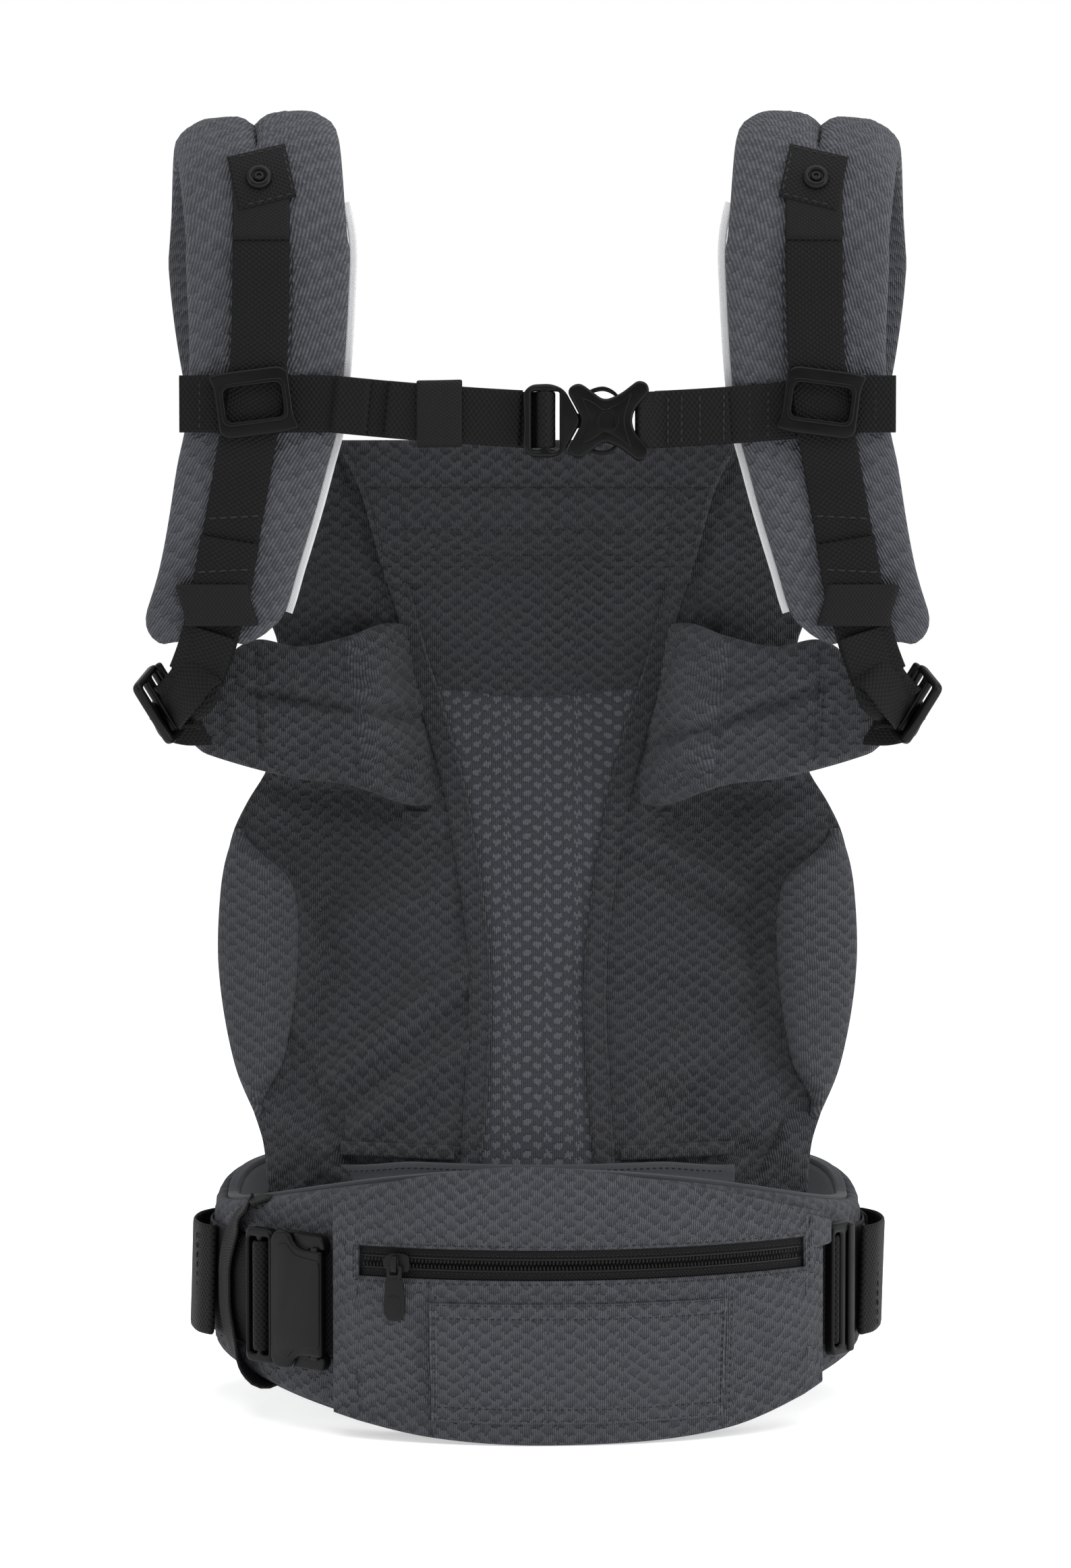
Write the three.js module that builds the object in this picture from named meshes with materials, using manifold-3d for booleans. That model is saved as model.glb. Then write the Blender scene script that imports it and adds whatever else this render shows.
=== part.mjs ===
// Soft baby carrier: padded waist belt with a zipped pouch, a bucket seat panel with a foldable
// head support, two padded shoulder straps looped over to the front, a chest strap that rides on
// the strap webbing, and side-release buckles. Millimetres, +Z up, the pouch faces -Y.
import * as THREE from "three";
import { mergeVertices } from "three/addons/utils/BufferGeometryUtils.js";
import Module from "manifold-3d";

const wasm = await Module();
wasm.setup();
const { PI, sin, cos, min, max, abs, hypot } = Math;
const RAD = PI / 180;

// ---------------------------------------------------------------- driving dimensions
const GAP = 0.4; // free space between neighbouring pieces
const BELT = { halfWidth: 148, halfDepth: 105, centreY: 8, endDeg: 142, thick: 13 };
const POUCH = { centreX: -1.3, centreY: 92.7, radius: 202, fromDeg: -26, toDeg: 39.4, wall: 2.4 };
const ZIP = { z: 79, fromDeg: -22, toDeg: 35.6, height: 14.4, sliderDeg: -17, coil: 1.6 };
const STRAP = { frontY: -55, backY: 59, bendZ: 520, padThick: 12 };
const WEB = { narrow: 25, wide: 50, thick: 1.6 };
const HEAD_FOLD = { z: 381, y: 4 };

// ---------------------------------------------------------------- materials
const cloth = (color) => new THREE.MeshStandardMaterial({ color, roughness: 0.95, metalness: 0 });
const MESH_CLOTH = cloth(0x4b4c51);
const LINING = cloth(0x5a5b60);
const FOAM = cloth(0x8d8f93);
const WEBBING = cloth(0x222222);
const PIPING = cloth(0xc8c8ca);
const PLASTIC = new THREE.MeshStandardMaterial({ color: 0x232323, roughness: 0.5, metalness: 0 });
const SNAP_METAL = new THREE.MeshStandardMaterial({ color: 0x1b1b1b, roughness: 0.35, metalness: 0.6 });

const carrier = new THREE.Group();
function add(name, geometry, material, parent = carrier) {
  const mesh = new THREE.Mesh(geometry, material);
  mesh.name = name;
  parent.add(mesh);
  return mesh;
}

// ---------------------------------------------------------------- shape helpers
// A box whose corners run 0..1 in u, v and w, bent into place by map(u, v, w) -> [x, y, z].
function bent(nu, nv, map, nw = 1) {
  const g = new THREE.BoxGeometry(1, 1, 1, nu, nv, nw);
  const p = g.getAttribute("position");
  for (let i = 0; i < p.count; i++) {
    p.setXYZ(i, ...map(p.getX(i) + 0.5, p.getY(i) + 0.5, p.getZ(i) + 0.5));
  }
  g.deleteAttribute("normal");
  g.deleteAttribute("uv");
  return mergeVertices(g, 1e-4);
}

// A smooth curve through hand-placed [key, value] pairs, read at any key between them.
function curveOf(pairs) {
  return (key) => {
    const last = pairs.length - 1;
    if (key <= pairs[0][0]) return pairs[0][1];
    if (key >= pairs[last][0]) return pairs[last][1];
    const i = pairs.findIndex(([k]) => k > key) - 1;
    const at = (j) => pairs[min(max(j, 0), last)];
    const slope = (j) => {
      const [a, b] = [at(j - 1), at(j + 1)];
      return (b[1] - a[1]) / (b[0] - a[0]);
    };
    const h = at(i + 1)[0] - at(i)[0];
    const t = (key - at(i)[0]) / h;
    const [t2, t3] = [t * t, t * t * t];
    return (
      (2 * t3 - 3 * t2 + 1) * at(i)[1] +
      (t3 - 2 * t2 + t) * h * slope(i) +
      (3 * t2 - 2 * t3) * at(i + 1)[1] +
      (t3 - t2) * h * slope(i + 1)
    );
  };
}

const mix = (a, b, t) => a + (b - a) * t;
// A plate drawn in X and Z, extruded along Y and centred on its depth.
function plate(outline, depth, holes = []) {
  const shape = new THREE.Shape(outline.map(([x, z]) => new THREE.Vector2(x, z)));
  for (const hole of holes) shape.holes.push(new THREE.Path(hole.map(([x, z]) => new THREE.Vector2(x, z))));
  const g = new THREE.ExtrudeGeometry(shape, { depth, bevelEnabled: false });
  return g.translate(0, 0, -depth / 2).rotateX(PI / 2);
}

// Corner points of a rectangle with its corners cut at 45 degrees.
function chamfered(w, h, c, cx = 0, cz = 0) {
  const [a, b] = [w / 2, h / 2];
  const upper = [[a, b - c], [a - c, b], [-a + c, b], [-a, b - c]];
  const corners = [...upper, ...upper.map(([x, z]) => [-x, -z])];
  return corners.map(([x, z]) => [x + cx, z + cz]);
}

function solid(geometry) {
  const g = geometry.clone();
  g.deleteAttribute("normal");
  g.deleteAttribute("uv");
  const m = mergeVertices(g, 1e-4);
  const mesh = new wasm.Mesh({
    numProp: 3,
    vertProperties: m.getAttribute("position").array,
    triVerts: new Uint32Array(m.index.array),
  });
  return new wasm.Manifold(mesh);
}
function geometryOf(manifold) {
  const m = manifold.getMesh();
  const g = new THREE.BufferGeometry();
  g.setAttribute("position", new THREE.BufferAttribute(new Float32Array(m.vertProperties), 3));
  g.setIndex(new THREE.BufferAttribute(new Uint32Array(m.triVerts), 1));
  return g;
}
const joined = (...parts) => geometryOf(parts.map(solid).reduce((a, b) => a.add(b)));
const cut = (body, ...tools) => geometryOf(tools.map(solid).reduce((a, b) => a.subtract(b), solid(body)));
const block = (x0, x1, y0, y1, z0, z1) =>
  new THREE.BoxGeometry(x1 - x0, y1 - y0, z1 - z0).translate((x0 + x1) / 2, (y0 + y1) / 2, (z0 + z1) / 2);
const SIDES = [["left", -1], ["right", 1]];
// Right-hand shapes are drawn; a left-hand one is mirrored, with its faces turned back outwards.
function handed(side, geometry) {
  if (side > 0) return geometry;
  const g = geometry.index ? geometry.toNonIndexed() : geometry.clone();
  const p = g.getAttribute("position");
  for (let i = 0; i < p.count; i += 3) {
    const corners = [0, 2, 1].map((k) => [-p.getX(i + k), p.getY(i + k), p.getZ(i + k)]);
    corners.forEach((c, k) => p.setXYZ(i + k, ...c));
  }
  g.deleteAttribute("normal");
  g.deleteAttribute("uv");
  return mergeVertices(g, 1e-4);
}

// ---------------------------------------------------------------- waist belt
// A point on the belt's outer face, pushed inwards by depth, at phi degrees round from the front.
function onBelt(deg, depth, z) {
  const a = deg * RAD;
  const [nx, ny] = [sin(a) / BELT.halfWidth, -cos(a) / BELT.halfDepth];
  const len = hypot(nx, ny);
  const x = BELT.halfWidth * sin(a) - (nx / len) * depth;
  const y = BELT.centreY - BELT.halfDepth * cos(a) - (ny / len) * depth;
  return [x, y, z];
}
const beltBottom = (deg) => {
  const past = (abs(deg) - 90) / (BELT.endDeg - 90);
  return abs(deg) < 90 ? 24 * sin(deg * RAD) ** 2 : 24 * cos((past * PI) / 2) ** 2;
};
// The top edge is high in front, and rises again behind the hips.
const backRise = (deg) => 12.5 * (1 - Math.exp(-max(0, abs(deg) - 90) / 14));
const beltTop = (deg) => 92 + 24 * max(0, cos(deg * RAD)) ** 2 + backRise(deg);
function beltLayer(from, to, inset, endInset, steps = 32) {
  const reach = BELT.endDeg - endInset;
  return bent(steps, 2, (u, v, w) => {
    const deg = mix(-reach, reach, u);
    return onBelt(deg, mix(to, from, w), mix(beltBottom(deg) + inset, beltTop(deg) - inset, v));
  });
}
add("waistbelt_cover", beltLayer(0, 3, 0, 0), MESH_CLOTH);
add("waistbelt_foam", beltLayer(3 + GAP, 10.6, 4, 3), FOAM);
add("waistbelt_lining", beltLayer(11, BELT.thick, 0, 0), LINING);

// ---------------------------------------------------------------- pouch on the belt's front
const onPouch = (deg, depth, z) => {
  const r = POUCH.radius - depth;
  return [POUCH.centreX + r * sin(deg * RAD), POUCH.centreY - r * cos(deg * RAD), z];
};
const pouchTop = curveOf([[-26, 106.5], [-12.8, 117.5], [1, 121.5], [19.5, 112], [39.4, 94.8]]);
const pouchLow = curveOf([[-26, 10.5], [-12.8, 2.5], [3, 0], [24.4, 4], [39.4, 19]]);
const pouchBottom = (deg) => max(0, pouchLow(deg));
const pouchRange = (u, trim = 0) => mix(POUCH.fromDeg + trim, POUCH.toDeg - trim, u);
const swell = (z) => 3.5 * (1 - ((z - 58) / 64) ** 2);
const ZIP_FACE = -swell(ZIP.z);
const alongZip = (u, trim) => mix(ZIP.fromDeg + trim, ZIP.toDeg - trim, u);
const zipSlot = bent(16, 1, (u, v, w) => {
  const z = ZIP.z + (v - 0.5) * ZIP.height;
  return onPouch(alongZip(u, 0), mix(8, -8, w), z);
});
const pouchFront = bent(18, 6, (u, v, w) => {
  const deg = pouchRange(u);
  const z = mix(pouchBottom(deg), pouchTop(deg), v);
  const edge = min(1, min(u, 1 - u) / 0.055);
  return onPouch(deg, mix(POUCH.wall, -max(0, swell(z)) * edge, w), z);
});
add("pouch_front", cut(pouchFront, zipSlot), MESH_CLOTH);
// The empty pouch lies flat: its back wall touches the front one round the edge.
add("pouch_back", bent(18, 3, (u, v, w) => {
  const deg = pouchRange(u, 0.5);
  const depth = POUCH.wall + GAP + 3.6 * sin(PI * v) * sin(PI * u);
  return onPouch(deg, mix(depth + 1.6, depth, w), mix(pouchBottom(deg) + 1, pouchTop(deg) - 1, v));
}), LINING);
add("pouch_pocket", bent(12, 5, (u, v, w) => {
  const z = mix(10, 63, v);
  return onPouch(mix(-12.8, 24, u), -swell(z) - GAP - w, z);
}), MESH_CLOTH);

// Zip: two tapes, two coils, a slider that travels on the pouch's arc, and its pull.
for (const [name, low, high] of [["upper", 1.9, 6.9], ["lower", -6.9, -1.9]]) {
  add(`zip_tape_${name}`, bent(16, 1, (u, v, w) =>
    onPouch(alongZip(u, 0.4), ZIP_FACE + mix(2.6, 1.6, w), ZIP.z + mix(low, high, v))), WEBBING);
}
for (const [name, low, high] of [["upper", 0.15, 1.55], ["lower", -1.55, -0.15]]) {
  add(`zip_coil_${name}`, bent(18, 1, (u, v, w) =>
    onPouch(alongZip(u, 0.6), ZIP_FACE + mix(2.6, 2.6 - ZIP.coil, w), ZIP.z + mix(low, high, v))), PLASTIC);
}
const zipSlider = new THREE.Group();
zipSlider.position.set(...onPouch(ZIP.sliderDeg, ZIP_FACE, ZIP.z));
zipSlider.rotation.z = ZIP.sliderDeg * RAD;
carrier.add(zipSlider);
const sliderHalf = [[-6, -1.8], [-3, -4.2], [3, -4.2], [6, -3.4]];
const sliderPlate = [...sliderHalf, ...sliderHalf.map(([x, z]) => [x, -z]).reverse()];
const bridge = cut(block(-1.3, 1.3, -5.1, -0.6, -3.6, 3.6), block(-3, 3, -4, -2, -2.4, 2.4));
add("zip_slider", joined(plate(sliderPlate, 1.4).translate(0, -0.2, 0), bridge), PLASTIC, zipSlider);
// The pull's top bar lies through the bridge, and the pull turns on it.
const PULL_Y = -3;
const pullRing = cut(block(-3.4, 3.4, -3.6, -2.4, -6.4, -0.6), block(-1.8, 1.8, -6, 0, -4.6, -1.8));
const pullTab = plate(chamfered(10.4, 19, 3, 0, -15.4), 1.5).translate(0, PULL_Y, 0);
add("zip_pull", joined(pullRing, pullTab), PLASTIC, zipSlider);

// ---------------------------------------------------------------- seat panel
const seatHalfWidth = curveOf([[94, 122], [119, 124], [134, 128.5], [150, 134.5], [169, 140], [191, 144],
  [213, 145.3], [240, 143.6], [258, 140], [272, 133.4], [286, 125], [310, 117], [345, 114]]);
const seatDepth = curveOf([[94, -74], [118, -66], [150, -42], [200, -12], [250, 2], [300, 8], [381, 8]]);
const sideLift = curveOf([[0, 0], [0.3, 4], [0.62, 13], [0.85, 5], [1, 9]]);
const sideShare = curveOf([[94, 0], [150, 0.5], [200, 1], [280, 1], [345, 0.4]]);
const edgeStart = curveOf([[94, 50], [118, 40], [150, 16], [200, 0]]);
// Depth of the panel's front face at x, z: a trough between the centre and the padded thigh edge.
const panelY = (x, z) => {
  const share = min(1, abs(x) / seatHalfWidth(z));
  return seatDepth(z) + sideLift(share) * sideShare(z) + edgeStart(z) * share * share;
};
const stripOuter = curveOf([[96, 34], [115, 34], [140, 33], [175, 31], [201, 31.5], [225, 34], [256, 39],
  [277, 43], [298, 48.6], [330, 58], [352, 62.5], [381, 71.5]]);
const stripInner = curveOf([[96, 25], [113, 25], [134, 23], [160, 21.5], [188, 20.6], [226, 24], [253, 28],
  [275, 32], [296, 37], [317, 43], [337, 49.5], [369, 58], [381, 61]]);
const thighSeam = curveOf([[130, 122], [165, 113], [200, 109], [235, 112], [262, 128]]);
// A right-hand sheet between two edges, from z0 to z1, its face at depth front and its back at depth back.
function panelSheet(nu, nv, z0, z1, inner, outer, front, back) {
  return bent(nu, nv, (u, v, w) => {
    const z = mix(z0, z1, v);
    const x = mix(inner(z), outer(z), u);
    return [x, panelY(x, z) + mix(back, front, w), z];
  });
}
for (const [name, side] of SIDES) {
  const seat = panelSheet(8, 13, 96, 345, (z) => stripOuter(z) + GAP, (z) => seatHalfWidth(z) - 0.5, 0, 4);
  add(`seat_panel_${name}`, handed(side, seat), MESH_CLOTH);
  const tape = panelSheet(1, 18, 96, HEAD_FOLD.z - 1, stripInner, stripOuter, -1.5, 3);
  add(`seat_strip_${name}`, handed(side, tape), MESH_CLOTH);
  const thigh = panelSheet(4, 12, 132, 260, thighSeam, (z) => seatHalfWidth(z) + 0.4, -5, -1.2);
  add(`thigh_pad_${name}`, handed(side, thigh), MESH_CLOTH);
}
const meshHalf = (z) => stripInner(z) - GAP;
add("seat_mesh", bent(6, 18, (u, v, w) => {
  const z = mix(96, HEAD_FOLD.z - 1, v);
  const x = mix(-meshHalf(z), meshHalf(z), u);
  return [x, panelY(x, z) + mix(2.5, 0.5, w), z];
}), MESH_CLOTH);
add("seat_base_band", bent(10, 1, (u, v, w) => {
  const x = mix(-88, 88, u);
  const z = mix(107, 117, v);
  return [x, panelY(x, z) - 2.2 - 1.6 * w, z];
}), LINING);

// ---------------------------------------------------------------- head support, hinged on its fold
const headHalf = curveOf([[381, 71.5], [394, 75], [415, 81], [437, 92]]);
add("head_support", bent(10, 5, (u, v, w) => {
  const z = mix(HEAD_FOLD.z + 1.5, 437, v);
  const half = headHalf(z);
  const x = mix(-half, half, u);
  const crown = 4 * (1 - (x / half) ** 2);
  return [x, mix(12, 4 - crown, w), z];
}), MESH_CLOTH);

// ---------------------------------------------------------------- shoulder panels beside the head support
const shoulderInner = (z) => (z < HEAD_FOLD.z ? stripOuter(z) : headHalf(min(z, 437))) + 0.8;
const shoulderOuter = curveOf([[346, 119], [370, 128], [400, 138], [440, 148]]);
for (const [name, side] of SIDES) {
  const panel = bent(5, 7, (u, v, w) => {
    const z = mix(347, 442, v);
    const x = mix(shoulderInner(z), shoulderOuter(z), u);
    const y = mix(13, mix(20, 34, v), u);
    return [x, y + mix(4, 0, w), z];
  });
  add(`shoulder_panel_${name}`, handed(side, panel), MESH_CLOTH);
}

// ---------------------------------------------------------------- side wings that carry the strap webbing
const wingTop = curveOf([[45, 352], [63, 354], [79, 349], [103, 344], [126, 347], [143, 335], [155, 318]]);
const wingBottom = curveOf([[45, 272], [63, 271], [79, 278], [91, 282], [113, 285],
  [149, 296], [155, 301]]);
const wingY = (x) => mix(-10, -26, (x - 45) / 110);
for (const [name, side] of SIDES) {
  const wing = bent(14, 3, (u, v, w) => {
    const reach = mix(46, 154, u);
    const x = reach + (1 - u) * 14 * (v - 0.25);
    const z = mix(wingBottom(reach), wingTop(reach), v);
    return [x, wingY(x) + mix(4, -5, w), z];
  });
  add(`side_wing_${name}`, handed(side, wing), MESH_CLOTH);
}

// ---------------------------------------------------------------- shoulder straps
// Centreline of the right strap: bottom end at the front, over the top, and down the back.
const frontX = curveOf([[346, 148], [360, 142], [380, 136], [402, 130.5], [425, 125.5],
  [442, 121.5], [470, 119], [500, 118.5], [527, 119], [556, 125]]);
const strapHalf = curveOf([[346, 26], [352, 30], [380, 30.5], [425, 33], [470, 34], [527, 36], [586, 33]]);
const STRAP_LOW = 347;
const BEND_R = (STRAP.backY - STRAP.frontY) / 2;
const FRONT_LEN = STRAP.bendZ - STRAP_LOW;
const ARC_LEN = PI * BEND_R;
const BACK_LEN = 88;
function strapLine(s) {
  const d = s * (FRONT_LEN + ARC_LEN + BACK_LEN);
  if (d < FRONT_LEN) {
    const z = STRAP_LOW + d;
    return { x: frontX(z), y: STRAP.frontY, z, half: strapHalf(z), ny: -1, nz: 0 };
  }
  if (d < FRONT_LEN + ARC_LEN) {
    const a = (d - FRONT_LEN) / BEND_R;
    const z = STRAP.bendZ + BEND_R * sin(a);
    const y = STRAP.frontY + BEND_R * (1 - cos(a));
    return { x: mix(frontX(STRAP.bendZ), 136, a / PI), y, z, half: 35.5, ny: -cos(a), nz: sin(a) };
  }
  const f = (d - FRONT_LEN - ARC_LEN) / BACK_LEN;
  const z = STRAP.bendZ - BACK_LEN * f;
  return { x: mix(136, 126, f * f), y: STRAP.backY - 12 * f * f, z, half: mix(35.5, 30, f), ny: 1, nz: 0 };
}
// A layer of the strap between two offsets from its centreline, measured along the outward normal.
function strapLayer(inside, outside, inset, from = 0, to = 1, steps = 28) {
  return bent(4, steps, (u, v, w) => {
    const p = strapLine(mix(from, to, v));
    const across = (u - 0.5) * 2;
    const squeeze = 1 - 0.45 * across ** 4;
    const off = mix(inside, outside, w) * squeeze;
    return [p.x + across * (p.half - inset), p.y + p.ny * off, p.z + p.nz * off];
  });
}
for (const [name, side] of SIDES) {
  add(`shoulder_strap_cover_${name}`, handed(side, strapLayer(3.4, 6, 0)), MESH_CLOTH);
  add(`shoulder_strap_foam_${name}`, handed(side, strapLayer(-3, 2.8, 4, 0.01, 0.985)), FOAM);
  add(`shoulder_strap_lining_${name}`, handed(side, strapLayer(-6, -3.6, 0)), LINING);
  const piping = bent(1, 16, (u, v, w) => {
    const z = mix(360, 540, v);
    const edge = frontX(z) - strapHalf(z);
    return [edge - 0.5 - 2.6 * (1 - u), STRAP.frontY + 3 + mix(2, 0, w), z];
  });
  add(`strap_piping_${name}`, handed(side, piping), PIPING);
}

// ---------------------------------------------------------------- strap webbing, snaps and adjusters
const webX = curveOf([[330, 151.5], [350, 144], [370, 139.5], [400, 133.5], [425, 129],
  [452, 124], [480, 121.5], [540, 121], [562, 123]]);
const PAD_FACE = STRAP.frontY - STRAP.padThick / 2;
const SLIDER_Z = 452;
// The webbing is sewn to the pad at its ends and stands off it where the chest slider travels.
const webLift = curveOf([[420, 0], [434, 2.8], [512, 2.8], [526, 0]]);
const bendRadius = BEND_R + STRAP.padThick / 2 + GAP;
const bendY = (z) => {
  const up = max(0, z - STRAP.bendZ);
  return STRAP.frontY + BEND_R - Math.sqrt(bendRadius ** 2 - up ** 2);
};
for (const [name, side] of SIDES) {
  const webbing = bent(1, 26, (u, v, w) => {
    const z = mix(336, 558, v);
    return [webX(z) + (u - 0.5) * WEB.narrow, bendY(z) - webLift(z) - WEB.thick * w, z];
  });
  add(`strap_webbing_${name}`, handed(side, webbing), WEBBING);
  const profile = [[0, 0], [5.6, 0], [5.6, 1.4], [4.2, 2.4], [2.8, 2.4], [2.4, 1.2], [0, 1.2]];
  const snap = new THREE.LatheGeometry(profile.map(([x, y]) => new THREE.Vector2(x, y)), 16);
  const tilt = 0.48;
  const reach = bendRadius + WEB.thick + GAP;
  const snapY = STRAP.frontY + BEND_R - reach * cos(tilt);
  snap.rotateX(PI - tilt).translate(122, snapY, STRAP.bendZ + reach * sin(tilt));
  add(`snap_socket_${name}`, handed(side, snap), SNAP_METAL);
  // Ladder-lock adjuster at the end of the wing: two side rails and three cross bars.
  const frame = plate(chamfered(32, 22, 3), 4, [
    chamfered(26, 4.6, 1, 0, 4.8).reverse(),
    chamfered(26, 4.6, 1, 0, -4.8).reverse(),
  ]);
  const lip = block(-16, 16, -4.4, -2.0, 7.6, 11);
  const ladder = joined(frame, lip).rotateY(-1.25).rotateZ(-1.05).rotateY(0.36);
  add(`strap_adjuster_${name}`, handed(side, ladder.translate(167, -44, 319)), PLASTIC);
}

// ---------------------------------------------------------------- chest strap
// Each slider is a frame in front of the strap webbing; the chest webbing runs behind both.
const SLIDER = { x: 124, w: 32, h: 28, back: PAD_FACE - GAP - 2.8 - WEB.thick - 0.6, thick: 3 };
const CHEST_FACE = PAD_FACE - 1 - WEB.thick; // outer face of the chest webbing
const chestZ = (x) => 444 + 7.5 * min(1, (abs(x - 25) / 115) ** 1.6);
const chestRun = (x0, x1, back, front, steps, width = WEB.narrow) => bent(steps, 1, (u, v, w) => {
  const x = mix(x0, x1, u);
  return [x, mix(back, front, w), chestZ(x) + (v - 0.5) * width];
});
for (const [name, side] of SIDES) {
  const frame = plate(chamfered(SLIDER.w, SLIDER.h, 1.5), SLIDER.thick, [chamfered(26.4, 16, 2).reverse()]);
  const ears = [block(13.2, 18.6, -1.5, 0.6, 10.8, 13.4), block(-18.6, -13.2, -1.5, 0.6, -13.4, -10.8)];
  const slider = joined(frame, ...ears).rotateY(0.13);
  slider.translate(SLIDER.x, SLIDER.back - SLIDER.thick / 2, SLIDER_Z);
  add(`chest_slider_${name}`, handed(side, slider), PLASTIC);
}
const CHEST_BACK = PAD_FACE - 1;
const PLUG_LEFT = -6.6;
add("chest_webbing_left", chestRun(-157, PLUG_LEFT - GAP, CHEST_BACK, CHEST_FACE, 12), WEBBING);
add("chest_webbing_right", chestRun(50, 157, CHEST_BACK, CHEST_FACE, 10), WEBBING);
const TAIL_FACE = CHEST_FACE - GAP - WEB.thick;
add("chest_webbing_tail", chestRun(-63, PLUG_LEFT - GAP, CHEST_FACE - GAP, TAIL_FACE, 5), WEBBING);
const KEEPER = { from: -53, to: -33 };
const keeperOuter = chestRun(KEEPER.from, KEEPER.to, CHEST_BACK + 1.2, TAIL_FACE - 1.8, 2, WEB.narrow + 4);
const keeperSpan = [KEEPER.from - 2, KEEPER.to + 2];
const keeperInner = chestRun(...keeperSpan, CHEST_BACK + 0.4, TAIL_FACE - 0.5, 2, WEB.narrow + 1);
add("chest_keeper", cut(keeperOuter, keeperInner), WEBBING);

// Chest buckle: an X-shaped socket with an open middle, and a plug with a webbing frame and two prongs.
const BUCKLE_Z = 444;
const below = (half) => half.filter(([, z]) => z !== 0).map(([x, z]) => [x, -z]).reverse();
const mirrored = (half) => [...half, ...below(half)];
const atBuckle = (points) => points.map(([x, z]) => [x, z + BUCKLE_Z]);
const crossOutline = atBuckle(mirrored([[19.8, 0], [12.5, 13.6], [18, 17], [23.5, 13], [29, 8.8],
  [36, 11.6], [44, 17.8], [48, 16.4], [49, 12.4], [42.4, 5], [41, 0]])).reverse();
const crossPlate = (y0, y1) => plate(crossOutline, y1 - y0).translate(0, (y0 + y1) / 2, 0);
const BUCKLE_Y = CHEST_FACE - 3; // middle of the buckle's thickness
const endHalf = [[37.5, 0], [37.5, 10.8], [44, 15.6], [47, 14.4], [41.6, 5], [40.6, 0]];
const endWall = atBuckle(mirrored(endHalf)).reverse();
add("chest_buckle_socket", joined(
  crossPlate(BUCKLE_Y - 5, BUCKLE_Y - 2.2), crossPlate(BUCKLE_Y + 2.2, BUCKLE_Y + 4.2),
  plate(endWall, 8).translate(0, BUCKLE_Y, 0),
  block(42.6, 45.4, BUCKLE_Y - 1.4, BUCKLE_Y + 1.4, BUCKLE_Z - 15, BUCKLE_Z + 15)), PLASTIC);
const frameOutline = atBuckle(mirrored([[19.2, 0], [11.7, 13.8], [6, 16.2], [-3, 15.8], [PLUG_LEFT, 12],
  [PLUG_LEFT + 0.6, 0]])).reverse();
const barSlot = (x0, x1) => block(x0, x1, -100, 0, BUCKLE_Z - 12.8, BUCKLE_Z + 12.8);
const tongue = block(15, 33, BUCKLE_Y - 1.7, BUCKLE_Y + 1.7, BUCKLE_Z - 3.2, BUCKLE_Z + 3.2);
const plugFrame = plate(frameOutline, 7.6).translate(0, BUCKLE_Y - 0.4, 0);
add("chest_buckle_plug", joined(cut(plugFrame, barSlot(-2.6, 1.6), barSlot(5, 9.6)), tongue), PLASTIC);
// Prongs: curved springs that bulge out of the notches between the arms of the X, to be squeezed.
const prongLine = curveOf([[15.5, 6.4], [21, 11.5], [28, 14], [33, 12.4], [36.4, 9]]);
for (const [name, up] of [["upper", 1], ["lower", -1]]) {
  const prong = bent(8, 1, (u, v, w) => {
    const x = mix(20.2, 36.4, u);
    const z = prongLine(x) + (v - 0.5) * 2;
    return [x, BUCKLE_Y + mix(1.7, -1.7, w), BUCKLE_Z + z];
  });
  const flipped = prong.clone().translate(0, 0, -BUCKLE_Z).rotateX(PI).translate(0, 2 * BUCKLE_Y, BUCKLE_Z);
  add(`chest_prong_${name}`, up > 0 ? prong : flipped, PLASTIC);
}

// ---------------------------------------------------------------- waist buckle and webbing
const BUCKLE_DEG = -49;
const WAIST_Z = 57.7;
const waistBuckle = new THREE.Group();
waistBuckle.position.set(...onBelt(BUCKLE_DEG, -6.8, WAIST_Z));
const slopeX = BELT.halfWidth * cos(BUCKLE_DEG * RAD);
const slopeY = BELT.halfDepth * sin(BUCKLE_DEG * RAD);
waistBuckle.rotation.z = Math.atan2(slopeY, slopeX);
carrier.add(waistBuckle);
const socketShell = plate(chamfered(27.6, 61, 4, 14.2, 0), 9);
const socketHollow = block(-2, 25, -2.6, 2.6, -27, 27);
const thumbCut = (up) => plate(chamfered(15, 8, 3, 19, up * 29), 20);
const socketTab = block(24, 28, 1, 4.4, -25, 25);
const socketBody = joined(cut(socketShell, socketHollow, thumbCut(1), thumbCut(-1)), socketTab);
add("waist_buckle_socket", socketBody, PLASTIC, waistBuckle);
const ladder = plate(chamfered(15.5, 60, 3, -7.9, 0), 6, [
  chamfered(4.4, 51, 1, -11, 0).reverse(),
  chamfered(4.0, 51, 1, -4.2, 0).reverse(),
]);
add("waist_buckle_plug", joined(ladder, block(-1, 15, -2, 2, -6, 6)), PLASTIC, waistBuckle);
for (const [name, up] of [["upper", 1], ["lower", -1]]) {
  const outline = [[0.4, 17.5], [17, 19.5], [22.4, 18], [22.4, 24.4], [13.5, 26.2], [0.4, 22.5]].reverse();
  const prong = plate(up > 0 ? outline : outline.map(([x, z]) => [x, -z]).reverse(), 4.4);
  add(`waist_prong_${name}`, prong, PLASTIC, waistBuckle);
}
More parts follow.
